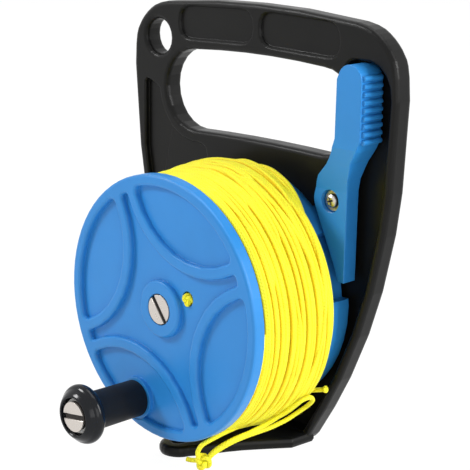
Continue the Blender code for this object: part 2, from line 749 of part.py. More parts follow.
def make_frame():
    outline = frame_outline()
    rim = inset(outline, RIM_WIDTH)
    lanyard = circle((LANYARD_FROM_SIDE - FRAME_HALF_WIDTH, FRAME_TOP - LANYARD_FROM_TOP), LANYARD_RADIUS, 20)
    body = plate("frame_body", [outline, hand_hole(), lanyard], FRAME_FRONT, FRAME_BACK, FRAME_EDGE, 2)

    before = FRAME_FRONT - OVERRUN
    beyond = FRAME_BACK + OVERRUN
    well = well_outline(rim)
    side = side_pocket(inset(outline, SIDE_POCKET_RIM))
    panel = panel_outline()
    cuts = [
        plate("well_cut", [well], before, WELL_FLOOR),
        plate("side_pocket_cut", [side], before, FRAME_FRONT + SIDE_POCKET_DEPTH),
        plate("panel_cut", [panel], before, FRAME_FRONT + PANEL_DEPTH),
        chamfer("well_rim", well, FRAME_FRONT, POCKET_CHAMFER),
        chamfer("side_pocket_rim", side, FRAME_FRONT, POCKET_CHAMFER),
        chamfer("panel_rim", panel, FRAME_FRONT, POCKET_CHAMFER),
    ]
    for name, turn in (("right", 1), ("left", -1)):
        pocket = grip_pocket(turn)
        cuts.append(plate(f"grip_pocket_{name}", [pocket], before, FRAME_FRONT + GRIP_POCKET_DEPTH))
        cuts.append(chamfer(f"grip_rim_{name}", pocket, FRAME_FRONT, GRIP_POCKET_CHAMFER))
        cuts.append(plate(f"back_pocket_{name}", [pocket], FRAME_BACK - BACK_POCKET_DEPTH, beyond))
    cut(body, *cuts)

    base = -AXIS_HEIGHT
    arm = plate("arm", [arm_outline()], base, base + ARM_THICKNESS, ARM_EDGE, 1, up=True)
    hub = rod("hub_boss", HUB_BOSS_RADIUS, HUB_BOSS_FRONT, FRAME_BACK - SINK, MEDIUM_ROUND)
    pivot = (PIVOT_X, PIVOT_Z)
    lever_boss = rod("lever_boss", LEVER_BOSS_RADIUS, LEVER_BACK + GAP, FRAME_BACK - SINK, SMALL_ROUND, pivot)
    join(body, arm, hub, lever_boss)

    bore = rod("axle_bore", BARREL_RADIUS + GAP, HUB_BOSS_FRONT - OVERRUN, beyond, SMALL_ROUND)
    seat_floor = FRAME_BACK - BARREL_HEAD - 2 * GAP
    seat = rod("barrel_seat", BARREL_HEAD_RADIUS + GAP, seat_floor, beyond, MEDIUM_ROUND)
    screw_end = LEVER_BACK + GAP - OVERRUN
    screw_hole = rod("lever_screw_hole", LEVER_SCREW_RADIUS + GAP, screw_end, FRAME_BACK - LEVER_SCREW_FLOOR,
                     SMALL_ROUND, pivot)
    eye_place = (0, ARM_FRONT + EYE_FROM_TIP)
    eye = plate("eye", [circle(eye_place, EYE_RADIUS, 16)], base - OVERRUN, base + ARM_THICKNESS + OVERRUN, up=True)
    cut(body, bore, seat, screw_hole, eye)
    finish(body, "frame", BLACK, REEL)


# Spool
def lens_outline(axis):
    """One of the four lens-shaped pockets, between the rim and a rib, with round corners."""
    centre = polar(LENS_CENTRE_DISTANCE, axis)
    outer = LENS_OUTER_RADIUS - LENS_CORNER
    inner = LENS_INNER_RADIUS - LENS_CORNER
    spread = math.acos((outer ** 2 + LENS_CENTRE_DISTANCE ** 2 - inner ** 2) / (2 * outer * LENS_CENTRE_DISTANCE))
    points = []
    corners = []
    for turn in (-1, 1):
        place = polar(outer, axis + turn * spread)
        away = math.atan2(place[1] - centre[1], place[0] - centre[0])
        corners.append((place, axis + turn * spread, away))
    (low, low_rim, low_rib), (high, high_rim, high_rib) = corners
    points += arc((0, 0), LENS_OUTER_RADIUS, low_rim, high_rim, 10)
    points += arc(high, LENS_CORNER, high_rim, unwound(high_rib, high_rim), 3)[1:]
    points += arc(centre, LENS_INNER_RADIUS, high_rib, unwound(low_rib, high_rib), 8)[1:]
    points += arc(low, LENS_CORNER, low_rib, unwound(low_rim, low_rib), 3)[1:-1]
    return points


def unwound(angle, after):
    """The angle, raised by full turns until it is past another."""
    while angle < after:
        angle += 2 * math.pi
    while angle > after + 2 * math.pi:
        angle -= 2 * math.pi
    return angle


def cross_outline():
    """The sunk cross between the four ribs, out to a square end on each arm."""
    rib = LENS_INNER_RADIUS + RIB_WIDTH
    reach = FLANGE_RADIUS - CROSS_END_WALL - CROSS_CORNER
    far = rib + CROSS_CORNER
    spread = math.acos((reach ** 2 + LENS_CENTRE_DISTANCE ** 2 - far ** 2) / (2 * reach * LENS_CENTRE_DISTANCE))
    points = []
    for quarter in range(4):
        axis = LENS_AXIS + quarter * math.pi / 2
        centre = polar(LENS_CENTRE_DISTANCE, axis)
        low = polar(reach, axis - spread)
        high = polar(reach, axis + spread)
        low_rib = math.atan2(low[1] - centre[1], low[0] - centre[0])
        high_rib = math.atan2(high[1] - centre[1], high[0] - centre[0])
        points += arc(low, CROSS_CORNER, axis - spread, unwound(low_rib + math.pi, axis - spread), 2)
        points += arc(centre, rib, unwound(low_rib, high_rib), high_rib, 10)[1:-1]
        points += arc(high, CROSS_CORNER, high_rib + math.pi, unwound(axis + spread, high_rib + math.pi), 2)
    return points


def spool_screw_places():
    places = []
    for number in range(SPOOL_SCREW_COUNT):
        places.append(polar(SPOOL_SCREW_DISTANCE, SPOOL_SCREW_ANGLE + number * 2 * math.pi / SPOOL_SCREW_COUNT))
    return places


def crank_place():
    return polar(FLANGE_RADIUS - CRANK_FROM_RIM, CRANK_ANGLE)


def make_spool_front():
    lenses = [lens_outline(LENS_AXIS + quarter * math.pi / 2) for quarter in range(4)]
    rim = circle((0, 0), FLANGE_RADIUS, 68)
    disc = plate("flange", [rim, *lenses, cross_outline()], 0, 2 * FLANGE_THICKNESS, FLANGE_EDGE)
    beyond = FLANGE_THICKNESS + OVERRUN
    fill = rod("flange_floor", FLANGE_RADIUS - FLANGE_FILL_INSET, POCKET_DEPTH, beyond, LARGE_ROUND)
    hub_profile = [
        (0, 0), (0, HUB_FACE_RADIUS - FLANGE_EDGE), (FLANGE_EDGE * 0.3, HUB_FACE_RADIUS - FLANGE_EDGE * 0.3),
        (FLANGE_EDGE, HUB_FACE_RADIUS), (beyond, HUB_FACE_RADIUS), (beyond, 0),
    ]
    hub = turned("flange_hub", hub_profile, 40, closed=False)
    place = crank_place()
    boss = rod("crank_boss", CRANK_BOSS_RADIUS, CRANK_BOSS_DROP / 2, beyond, 24, place)
    join(disc, fill, hub, boss)
    reach = FLANGE_RADIUS + OVERRUN
    back_half = bar("back_half", (-reach, FLANGE_THICKNESS, -reach), (reach, 3 * FLANGE_THICKNESS, reach))
    cut(disc, back_half)

    rooted = FLANGE_THICKNESS - SINK
    drum_bore = DRUM_RADIUS - DRUM_WALL
    ring = tube("drum_ring", drum_bore - GAP, drum_bore - GAP - DRUM_WALL * 0.7, rooted,
                FLANGE_THICKNESS + DRUM_RING_LENGTH, 24)
    sleeve = rod("hub_sleeve", BARREL_RADIUS + HUB_WALL, rooted, HUB_SPLIT - GAP, MEDIUM_ROUND)
    posts = []
    for number, centre in enumerate(spool_screw_places()):
        posts.append(rod(f"front_post_{number}", SPOOL_POST_RADIUS, rooted, SPOOL_POST_SPLIT - GAP, 12, centre))
    join(disc, ring, sleeve, *posts)

    before = -OVERRUN
    cuts = [
        rod("hub_bore", BARREL_RADIUS + GAP, before, HUB_SPLIT + OVERRUN, SMALL_ROUND),
        rod("head_well", AXLE_HEAD_RADIUS + GAP, before, axle_seat(), MEDIUM_ROUND),
        rod("knob_seat", CRANK_BOSS_RADIUS + 2 * GAP, before, CRANK_BOSS_DROP, 28, place),
        rod("post_bore", POST_RADIUS + GAP, before, FLANGE_THICKNESS + OVERRUN, SMALL_ROUND, place),
        rod("post_well", POST_HEAD_RADIUS + GAP, post_head_front() - GAP, FLANGE_THICKNESS + OVERRUN,
            MEDIUM_ROUND, place),
        rod("anchor_hole", ANCHOR_HOLE_RADIUS, before, FLANGE_THICKNESS + OVERRUN, SMALL_ROUND,
            polar(ANCHOR_HOLE_DISTANCE, LENS_AXIS - math.pi / 4)),
    ]
    for number, centre in enumerate(spool_screw_places()):
        cuts.append(rod(f"front_screw_hole_{number}", SPOOL_SCREW_RADIUS + GAP,
                        REAR_FRONT + REAR_WEB - SPOOL_SCREW_LENGTH - OVERRUN,
                        SPOOL_POST_SPLIT + OVERRUN, 10, centre))
    cut(disc, *cuts)
    finish(disc, "spool_front", BLUE, SPOOL)


def make_spool_rear():
    bore = BARREL_RADIUS + GAP
    hub = BARREL_RADIUS + HUB_WALL
    drum_front = FLANGE_THICKNESS + GAP
    web_back = REAR_FRONT + REAR_WEB
    skirt = REAR_RADIUS - SKIRT_WALL
    hub_back = HUB_BOSS_FRONT - DRAG_WASHER - SPRING_WASHER - SPRING_WASHER_DISH - 3 * GAP
    profile = [
        (HUB_SPLIT, bore), (HUB_SPLIT, hub), (REAR_FRONT, hub), (REAR_FRONT, DRUM_RADIUS - DRUM_WALL),
        (drum_front, DRUM_RADIUS - DRUM_WALL), (drum_front, DRUM_RADIUS), (REAR_FRONT, DRUM_RADIUS),
        (REAR_FRONT, REAR_RADIUS - REAR_EDGE), (REAR_FRONT + REAR_EDGE, REAR_RADIUS),
        (REAR_BACK - REAR_EDGE, REAR_RADIUS), (REAR_BACK, REAR_RADIUS - REAR_EDGE), (REAR_BACK, skirt),
        (web_back, skirt), (web_back, hub), (hub_back, hub), (hub_back, bore),
    ]
    body = turned("drum", profile, LARGE_ROUND)
    posts = []
    holes = []
    for number, centre in enumerate(spool_screw_places()):
        posts.append(rod(f"rear_post_{number}", SPOOL_POST_RADIUS, SPOOL_POST_SPLIT, REAR_FRONT + SINK, 12, centre))
        holes.append(rod(f"rear_screw_hole_{number}", SPOOL_SCREW_RADIUS + GAP, SPOOL_POST_SPLIT - OVERRUN,
                         web_back + OVERRUN, 10, centre))
    gussets = []
    for number in range(GUSSET_COUNT):
        low = (SPOOL_SCREW_DISTANCE + 2 * SPOOL_SCREW_HEAD_RADIUS, web_back - SINK, -GUSSET_WIDTH / 2)
        high = (skirt + SINK, web_back + GUSSET_HEIGHT, GUSSET_WIDTH / 2)
        angle = NOTCH_START + NOTCH_WIDTH / 2 + (number + 0.5) * 2 * math.pi / GUSSET_COUNT
        gussets.append(turn_mesh(bar(f"gusset_{number}", low, high), angle))
    join(body, *posts, *gussets)

    floor = REAR_RADIUS - NOTCH_DEPTH
    notches = []
    for number in range(NOTCH_COUNT):
        start = NOTCH_START + number * 2 * math.pi / NOTCH_COUNT
        outline = arc((0, 0), floor, start, start + NOTCH_WIDTH, 8)
        outline += arc((0, 0), REAR_RADIUS + OVERRUN, start + NOTCH_WIDTH, start, 8)
        notches.append(plate(f"notch_{number}", [outline], REAR_FRONT - OVERRUN, REAR_BACK + OVERRUN))
    cut(body, *holes, *notches)
    finish(body, "spool_rear", BLUE, SPOOL)


def make_spool_screws():
    web_back = REAR_FRONT + REAR_WEB
    for number, centre in enumerate(spool_screw_places()):
        seat = web_back + GAP
        back = seat + SPOOL_SCREW_HEAD
        profile = [
            (seat - SPOOL_SCREW_LENGTH, 0), (seat - SPOOL_SCREW_LENGTH + SPOOL_SCREW_RADIUS, SPOOL_SCREW_RADIUS),
            (seat, SPOOL_SCREW_RADIUS), (seat, SPOOL_SCREW_HEAD_RADIUS),
            (back - SPOOL_SCREW_HEAD / 3, SPOOL_SCREW_HEAD_RADIUS), (back, SPOOL_SCREW_HEAD_RADIUS * 0.7), (back, 0),
        ]
        screw = turned("spool_screw_solid", profile, 10, centre, closed=False)
        finish(screw, f"spool_screw_{number + 1}", STEEL, SPOOL)


# Axle
def axle_head_back():
    return HEAD_THICKNESS - HEAD_PROUD


def axle_seat():
    """The floor of the front flange's well, on which the washer lies."""
    return axle_head_back() + 2 * GAP + AXLE_WASHER


def slotted_screw(name, front, head_radius, thread_radius, thread_length, slot_angle, centre=(0, 0)):
    """A low round head with one straight slot, and its shank behind."""
    back = front + HEAD_THICKNESS
    soft = HEAD_THICKNESS / 6
    profile = [
        (front, 0), (front, head_radius - soft), (front + soft, head_radius), (back, head_radius),
        (back, thread_radius), (back + thread_length - thread_radius / 2, thread_radius),
        (back + thread_length, thread_radius / 2), (back + thread_length, 0),
    ]
    screw = turned(name, profile, MEDIUM_ROUND, centre, closed=False)
    reach = head_radius + OVERRUN
    slot = bar(f"{name}_slot", (centre[0] - reach, front - OVERRUN, centre[1] - SLOT_WIDTH / 2),
               (centre[0] + reach, front + SLOT_DEPTH, centre[1] + SLOT_WIDTH / 2))
    return cut(screw, turn_mesh(slot, slot_angle, centre))


def make_axle():
    head_back = axle_head_back()
    screw = slotted_screw("axle_screw_solid", -HEAD_PROUD, AXLE_HEAD_RADIUS, AXLE_THREAD_RADIUS,
                          AXLE_THREAD_LENGTH, AXLE_SLOT_ANGLE)
    finish(screw, "axle_screw", STEEL, REEL)

    barrel_front = head_back + GAP
    washer = tube("axle_washer_solid", AXLE_HEAD_RADIUS - GAP, BARREL_RADIUS + GAP, barrel_front,
                  barrel_front + AXLE_WASHER, MEDIUM_ROUND)
    finish(washer, "axle_washer", NYLON, REEL)

    head_front = FRAME_BACK - BARREL_HEAD - GAP
    bore_end = barrel_front + AXLE_THREAD_LENGTH + OVERRUN
    thread_bore = AXLE_THREAD_RADIUS + GAP
    profile = [
        (bore_end, 0), (bore_end, thread_bore), (barrel_front, thread_bore), (barrel_front, BARREL_RADIUS),
        (head_front, BARREL_RADIUS), (head_front, BARREL_HEAD_RADIUS),
        (FRAME_BACK - GAP - SLOT_DEPTH / 3, BARREL_HEAD_RADIUS),
        (FRAME_BACK - GAP, BARREL_HEAD_RADIUS - SLOT_DEPTH / 3), (FRAME_BACK - GAP, 0),
    ]
    barrel = turned("axle_barrel_solid", profile, SMALL_ROUND, closed=False)
    reach = BARREL_HEAD_RADIUS + OVERRUN
    slot = bar("axle_barrel_slot", (-reach, FRAME_BACK - SLOT_DEPTH, -SLOT_WIDTH / 2),
               (reach, FRAME_BACK + OVERRUN, SLOT_WIDTH / 2))
    cut(barrel, slot)
    finish(barrel, "axle_barrel", STEEL, REEL)

    washer_back = HUB_BOSS_FRONT - GAP
    drag = tube("drag_washer_solid", DRAG_WASHER_RADIUS, BARREL_RADIUS + GAP, washer_back - DRAG_WASHER,
                washer_back, MEDIUM_ROUND)
    finish(drag, "drag_washer", NYLON, REEL)

    dish_back = washer_back - DRAG_WASHER - GAP
    bore = BARREL_RADIUS + GAP
    profile = [
        (dish_back - SPRING_WASHER - SPRING_WASHER_DISH, bore), (dish_back - SPRING_WASHER, SPRING_WASHER_RADIUS),
        (dish_back, SPRING_WASHER_RADIUS), (dish_back - SPRING_WASHER_DISH, bore),
    ]
    finish(turned("spring_washer_solid", profile, MEDIUM_ROUND), "spring_washer", STEEL, REEL)


# Crank
def post_head_front():
    return FLANGE_THICKNESS - FLANGE_BACK_RELIEF - POST_HEAD


def knob_face():
    """The knob's end face, as a place along Y."""
    return CRANK_BOSS_DROP - GAP - KNOB_LENGTH


def crank_screw_front():
    return knob_face() - CRANK_SCREW_PROUD


def make_crank():
    place = crank_place()
    post_front = crank_screw_front() + HEAD_THICKNESS + GAP
    head_front = post_head_front()
    bore = CRANK_THREAD_RADIUS + GAP
    bore_end = post_front + CRANK_THREAD_LENGTH + OVERRUN
    profile = [
        (bore_end, 0), (bore_end, bore), (post_front, bore), (post_front, POST_RADIUS), (head_front, POST_RADIUS),
        (head_front, POST_HEAD_RADIUS), (head_front + POST_HEAD, POST_HEAD_RADIUS), (head_front + POST_HEAD, 0),
    ]
    post = turned("crank_post_solid", profile, SMALL_ROUND, place, closed=False)
    finish(post, "crank_post", STEEL, SPOOL)

    base = CRANK_BOSS_DROP - GAP
    face = knob_face()
    floor = face + KNOB_WELL_DEPTH
    crown = base - KNOB_CROWN_LENGTH
    ring = KNOB_RADIUS - KNOB_ROUND_RADIUS
    outer = [(base, POST_RADIUS + GAP), (base, KNOB_BASE_RADIUS - CHAMFER_BITE * 6),
             (base - CHAMFER_BITE * 8, KNOB_BASE_RADIUS)]
    neck_end = crown + KNOB_ROUND_RADIUS * 1.25
    swell = (crown + KNOB_ROUND_RADIUS * 1.02, KNOB_NECK_RADIUS + KNOB_ROUND_RADIUS * 0.18)
    outer += [(neck_end, KNOB_NECK_RADIUS), swell]
    for step in range(7):
        angle = math.radians(80 - step * 22)
        outer.append((crown + KNOB_ROUND_RADIUS * math.sin(angle), ring + KNOB_ROUND_RADIUS * math.cos(angle)))
    outer += [
        (face + (crown - face) * 0.22, KNOB_FACE_RADIUS + (KNOB_RADIUS - KNOB_FACE_RADIUS) * 0.32),
        (face + CHAMFER_BITE * 6, KNOB_FACE_RADIUS), (face, KNOB_FACE_RADIUS - CHAMFER_BITE * 8),
        (face, KNOB_WELL_RADIUS), (floor, KNOB_WELL_RADIUS), (floor, POST_RADIUS + GAP),
    ]
    knob = turned("knob_solid", outer, 28, place)
    finish(knob, "crank_knob", GLOSS_BLACK, KNOB)

    washer_back = floor - GAP
    washer = tube("crank_washer_solid", CRANK_WASHER_RADIUS, POST_RADIUS + GAP, post_front, washer_back,
                  MEDIUM_ROUND, place)
    finish(washer, "crank_washer", NYLON, SPOOL)

    screw = slotted_screw("crank_screw_solid", crank_screw_front(), CRANK_SCREW_HEAD_RADIUS, CRANK_THREAD_RADIUS,
                          CRANK_THREAD_LENGTH, CRANK_SLOT_ANGLE, place)
    finish(screw, "crank_screw", STEEL, SPOOL)


# Lever
def lever_point(share):
    return LEVER_WIDTH - (1 - share[0]) * LEVER_SPAN, share[1] * LEVER_TOP


def lever_outline():
    outer = [lever_point(share) for share in LEVER_OUTLINE_SHARES]
    inner = [lever_point(share) for share in LEVER_INNER_SHARES]
    head = (LEVER_WIDTH - LEVER_TOP_RADIUS, LEVER_TOP - LEVER_TOP_RADIUS)
    crown = arc(head, LEVER_TOP_RADIUS, 0, math.pi, 12)
    crown[-1] = (lever_point((LEVER_NECK_SHARE, 1))[0], crown[-1][1])
    knee = smooth(outer[3:])
    elbow = smooth(inner)
    return thinned(outer[:3] + knee, FINE_TURN) + crown + thinned(elbow, FINE_TURN)


def lever_inner_edge():
    """The lever's edge from the top of its head down to the height of its pivot, on the spool's side."""
    outline = lever_outline()
    heights = [point[1] for point in outline]
    after_top = outline[heights.index(max(heights)):]
    return [point for point in after_top if point[1] > PIVOT_Z]


def soften(thing, width, steps, limit):
    bevel = thing.modifiers.new("Soften", "BEVEL")
    bevel.width = width
    bevel.segments = steps
    bevel.limit_method = "ANGLE"
    bevel.angle_limit = limit
    bevel.miter_outer = "MITER_ARC"
    return baked(thing)


def side_cutter(name, outline, low, high):
    """A prism whose (y, z) outline runs along X from low to high."""
    thing = plate(name, [outline], low, high)
    thing.data.transform(Matrix.Rotation(math.pi / 2, 4, "Z"))
    thing.data.transform(Matrix.Diagonal((-1, 1, 1, 1)))
    thing.data.flip_normals()
    return thing


def make_lever():
    pivot = (PIVOT_X, PIVOT_Z)
    body = plate("lever_body", [lever_outline()], LEVER_HEAD_FRONT, LEVER_HEAD_BACK)
    far = LEVER_TOP + OVERRUN
    front = LEVER_HEAD_FRONT - OVERRUN
    low, high = (share * LEVER_TOP for share in LEVER_SLOPE_SHARES)
    slope = (LEVER_FRONT - LEVER_HEAD_FRONT) / (high - low)
    over_front = high + OVERRUN / slope
    front_cut = [(LEVER_FRONT, -OVERRUN), (LEVER_FRONT, low), (front, over_front), (front, -OVERRUN)]
    back = LEVER_HEAD_BACK + OVERRUN
    low, high = (share * LEVER_TOP for share in LEVER_BACK_SHARES)
    back_slope = (LEVER_HEAD_BACK - LEVER_BACK) / (high - low)
    over_back = high + OVERRUN / back_slope
    back_cut = [(LEVER_BACK, -OVERRUN), (back, -OVERRUN), (back, over_back), (LEVER_BACK, low)]
    cut(body, side_cutter("lever_front_cut", front_cut, 0, far), side_cutter("lever_back_cut", back_cut, 0, far))
    soften(body, LEVER_EDGE, 2, math.radians(50))

    ribs = []
    rib_centre = LEVER_WIDTH + LEVER_RIB_PROUD
    for number in range(LEVER_RIB_COUNT):
        height = LEVER_RIB_LOW_SHARE * LEVER_TOP + number * LEVER_RIB_PITCH
        front = LEVER_HEAD_FRONT + LEVER_RIB_INSET
        back = LEVER_HEAD_BACK - LEVER_RIB_INSET
        ribs.append(rod(f"thumb_rib_{number}", LEVER_RIB_RADIUS, front, back, 10, (rib_centre, height)))
    join(body, *ribs)

    well = rod("lever_screw_well", LEVER_SCREW_WELL_RADIUS, LEVER_FRONT - OVERRUN, LEVER_FRONT + LEVER_SCREW_WELL,
               MEDIUM_ROUND, pivot)
    bore = rod("lever_bore", LEVER_BUSH_RADIUS + GAP, LEVER_FRONT, LEVER_BACK + OVERRUN, SMALL_ROUND, pivot)
    cut(body, well, bore)
    finish(body, "lock_lever", BLUE, LEVER)

    floor = LEVER_FRONT + LEVER_SCREW_WELL
    bore = LEVER_SCREW_RADIUS + GAP
    bush = tube("lever_bush_solid", LEVER_BUSH_RADIUS, bore, floor, LEVER_BACK, SMALL_ROUND, pivot)
    finish(bush, "lever_bush", STEEL, REEL)
    washer_back = floor - GAP
    washer = tube("lever_washer_solid", LEVER_WASHER_RADIUS, LEVER_SCREW_RADIUS + GAP, washer_back - LEVER_WASHER,
                  washer_back, SMALL_ROUND, pivot)
    finish(washer, "lever_washer", STEEL, REEL)

    seat = washer_back - LEVER_WASHER - GAP
    crown = seat - LEVER_SCREW_HEAD
    radius = LEVER_SCREW_HEAD_RADIUS
    profile = [
        (crown, 0), (crown, radius * 0.55), (crown + LEVER_SCREW_HEAD * 0.25, radius * 0.88),
        (crown + LEVER_SCREW_HEAD * 0.6, radius), (seat, radius), (seat, LEVER_SCREW_RADIUS),
        (seat + LEVER_SCREW_LENGTH, LEVER_SCREW_RADIUS), (seat + LEVER_SCREW_LENGTH, 0),
    ]
    screw = turned("lever_screw_solid", profile, 20, pivot, closed=False)
    slots = []
    half = CROSS_SLOT_LENGTH / 2
    for number in range(2):
        low = (PIVOT_X - half, crown - OVERRUN, PIVOT_Z - CROSS_SLOT / 2)
        high = (PIVOT_X + half, crown + CROSS_SLOT_DEPTH, PIVOT_Z + CROSS_SLOT / 2)
        slot = bar(f"cross_slot_{number}", low, high)
        slots.append(turn_mesh(slot, math.radians(20 + 90 * number), pivot))
    cut(screw, *slots)
    finish(screw, "lever_screw", STEEL, REEL)


# Line
def winding_place(share):
    return WINDING_FRONT + share[0] * (WINDING_BACK - WINDING_FRONT), share[1] * WINDING_RADIUS


def winding_profile(drop=0.0):
    """The middle of the outer layer of line as (y, radius), or a line that lies lower by drop."""
    places = smooth([winding_place(share) for share in WINDING_SHARES], 4)
    if not drop:
        return places
    made = []
    for index, place in enumerate(places):
        along = Vector(places[min(index + 1, len(places) - 1)]) - Vector(places[max(index - 1, 0)])
        along.normalize()
        made.append((place[0] + along.y * drop, place[1] - along.x * drop))
    return made


def make_winding():
    profile = evenly(winding_profile(), LINE_DIAMETER / 20)
    count = LOOP_COUNT * POINTS_PER_LOOP
    route = []
    for step in range(count + 1):
        spot = profile[min(round(step / count * (len(profile) - 1)), len(profile) - 1)]
        angle = -2 * math.pi * step / POINTS_PER_LOOP
        route.append(Vector((spot[1] * math.cos(angle), spot[0], spot[1] * math.sin(angle))))
    least = 1.0
    for index, point in enumerate(route):
        for other in route[index + POINTS_PER_LOOP // 2:index + 2 * POINTS_PER_LOOP]:
            least = min(least, (point - other).length)
    print(f"least gap between turns of line: {(least - LINE_DIAMETER) * 1000:.2f} mm")
    winding = line("line_winding_solid", route, LINE_DIAMETER, 1)
    finish(winding, "line_winding", YELLOW, SPOOL)

    lower = winding_profile(LAYER_DROP)
    top = [place for place in lower if place[0] < CORE_FLANK and place[0] > FLANGE_THICKNESS + GAP]
    front = FLANGE_THICKNESS + GAP
    core = [(front, DRUM_RADIUS + GAP), (front, top[0][1])]
    core += top[::10]
    core += [(CORE_FLANK, min(top[-1][1], WINDING_RADIUS) - LINE_DIAMETER / 4), (CORE_FLANK, CORE_FLANK_RADIUS),
             (CORE_BACK, CORE_FLANK_RADIUS - LINE_DIAMETER / 4), (CORE_BACK, DRUM_RADIUS + GAP)]
    finish(turned("line_core_solid", core, 30), "line_core", YELLOW, SPOOL)


def in_metres(points):
    return [Vector(point) * MILLIMETRE for point in points]


def free_line(name, route, parent):
    points = evenly(smooth(in_metres(route), 6), LINE_DIAMETER * 1.9)
    finish(line(f"{name}_solid", points, LINE_DIAMETER), name, YELLOW, parent)


def knot(name, place, radius, line_radius, leans, parent):
    """Crossed turns of line drawn tight round a small core. Each turn has a lean and a spin, in degrees."""
    middle = Vector(place)
    form = bmesh.new()
    bmesh.ops.create_uvsphere(form, u_segments=8, v_segments=6, radius=radius)
    mesh = bpy.data.meshes.new(name)
    form.to_mesh(mesh)
    form.free()
    body = add_object(f"{name}_core", mesh)
    turns = []
    for number, (lean, spin) in enumerate(leans):
        bpy.ops.mesh.primitive_torus_add(major_radius=radius, minor_radius=line_radius, major_segments=12,
                                         minor_segments=6)
        ring = bpy.context.object
        for holder in list(ring.users_collection):
            holder.objects.unlink(ring)
        CUTTERS.objects.link(ring)
        ring.name = f"{name}_turn_{number}"
        ring.data.transform(Matrix.Rotation(math.radians(spin), 4, "Z") @ Matrix.Rotation(math.radians(lean), 4, "X"))
        turns.append(ring)
    join(body, *turns)
    body.data.transform(Matrix.Translation(middle) @ Matrix.Diagonal((KNOT_STRETCH, 1, 1, 1)))
    finish(body, name, YELLOW, parent)


def make_line():
    make_winding()
    free_line("line_standing", STANDING_LINE_ROUTE, REEL)
    free_line("line_loop", LOOP_LINE_ROUTE, REEL)
    free_line("line_end", LINE_END_ROUTE, SPOOL)
    free_line("line_tail", TAIL_ROUTE, REEL)
    knot("line_knot", Vector(KNOT_PLACE) * MILLIMETRE, KNOT_RADIUS, KNOT_LINE_RADIUS,
         ((20, 0), (75, 55), (80, 125)), REEL)
    anchor = polar(ANCHOR_HOLE_DISTANCE, LENS_AXIS - math.pi / 4)
    lift = ANCHOR_HOLE_RADIUS - ANCHOR_KNOT_RADIUS - KNOT_LINE_RADIUS - GAP
    knot("anchor_knot", (anchor[0] + lift / 2, POCKET_DEPTH + ANCHOR_KNOT_RADIUS, anchor[1] - lift / 2),
         ANCHOR_KNOT_RADIUS, KNOT_LINE_RADIUS, ((60, 20), (100, 110)), SPOOL)


clear_scene()
PARTS = new_collection("dive_reel")
CUTTERS = new_collection("cutters", hidden=True)
BLACK = paint("black plastic", (0.022, 0.022, 0.024), 0.45)
GLOSS_BLACK = paint("black knob plastic", (0.012, 0.012, 0.013), 0.18)
BLUE = paint("blue plastic", (0.03, 0.24, 0.70), 0.32)
STEEL = paint("stainless steel", (0.66, 0.64, 0.60), 0.25, 1.0)
NYLON = paint("white nylon", (0.75, 0.74, 0.70), 0.5)
YELLOW = paint("yellow line", (0.90, 0.80, 0.03), 0.7)

PIVOT_X, PIVOT_Z = lever_point(LEVER_PIVOT_SHARES)
DEPTH_MIDDLE = (crank_screw_front() + FRAME_BACK) / 2
REEL = new_empty("reel_origin", (0, -DEPTH_MIDDLE, AXIS_HEIGHT))
SPOOL = new_empty("spool_axis", (0, 0, 0), REEL)
CRANK_X, CRANK_Z = crank_place()
KNOB = new_empty("knob_axis", (CRANK_X, 0, CRANK_Z), REEL)
LEVER = new_empty("lever_pivot", (PIVOT_X, LEVER_FRONT, PIVOT_Z), REEL)

make_frame()
make_spool_front()
make_spool_rear()
make_spool_screws()
make_axle()
make_crank()
make_lever()
make_line()
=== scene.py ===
"""Looks of the dive reel: materials for its solids, the wound and free line in full, and the photographed view.

Lengths are in metres. Places named in the reel's own frame have their origin on the spool's axis at the
front flange's face, with X to the right, Y to the back and Z up. REEL_PLACE takes them to the row frame.
"""
import math

import bmesh
import bpy
import numpy as np
from mathutils import Matrix, Vector


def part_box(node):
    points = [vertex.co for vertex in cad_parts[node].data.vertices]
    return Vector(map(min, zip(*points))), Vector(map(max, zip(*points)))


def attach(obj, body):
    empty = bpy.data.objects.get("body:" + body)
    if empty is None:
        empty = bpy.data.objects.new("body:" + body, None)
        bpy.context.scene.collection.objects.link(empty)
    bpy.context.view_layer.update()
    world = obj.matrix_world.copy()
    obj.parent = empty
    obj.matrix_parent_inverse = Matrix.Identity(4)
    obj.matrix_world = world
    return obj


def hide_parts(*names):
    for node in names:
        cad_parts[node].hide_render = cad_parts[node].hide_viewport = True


MILLIMETRE = 0.001
REEL_PLACE = Vector((0, -0.01895, 0.080))

# Camera, as fitted to the photograph
CAMERA_PLACE = Vector((0.6075, -0.5351, 0.2405))
CAMERA_TILT = math.radians(76.0)
CAMERA_TURN = math.radians(45.893)
CAMERA_LENS = 127.7
SENSOR_WIDTH = 36

# Line, and how finely it is built
LINE_DIAMETER = 0.0024
LINE_SIDES = 12
LOWER_LINE_SIDES = 8
FREE_LINE_SIDES = 16
FREE_RING_SPACING = LINE_DIAMETER / 6
FREE_CURVE_STEPS = 10
CURVE_STEPS = 6

# Winding: its ends and radius, and its outline as shares of its width and radius
WINDING_FRONT = 0.0081
WINDING_BACK = 0.0563
WINDING_RADIUS = 0.0703
WINDING_SHARES = (
    (0.0, 0.949), (0.14, 0.955), (0.28, 0.961), (0.42, 0.970), (0.56, 0.980), (0.70, 0.990), (0.84, 0.998),
    (0.90, 0.999), (0.9315, 0.988), (0.953, 0.973), (0.976, 0.953), (1.0, 0.930), (1.0, 0.912),
)
TOP_TURNS = 24.5
LOWER_TURNS = 23
RINGS_PER_TURN = 220
LOWER_DROP = 0.0014
PROFILE_STEP = LINE_DIAMETER / 30
# Waves in its turns: sideways in line diameters, as waves a turn and shares, and outward in metres
DRIFT = 0.6
DRIFT_WAVES = ((0.37, 0.5), (1.0, 0.9), (2.0, 0.45), (3.0, 0.2))
HEAVE = 0.0004
HEAVE_WAVES = 1.41
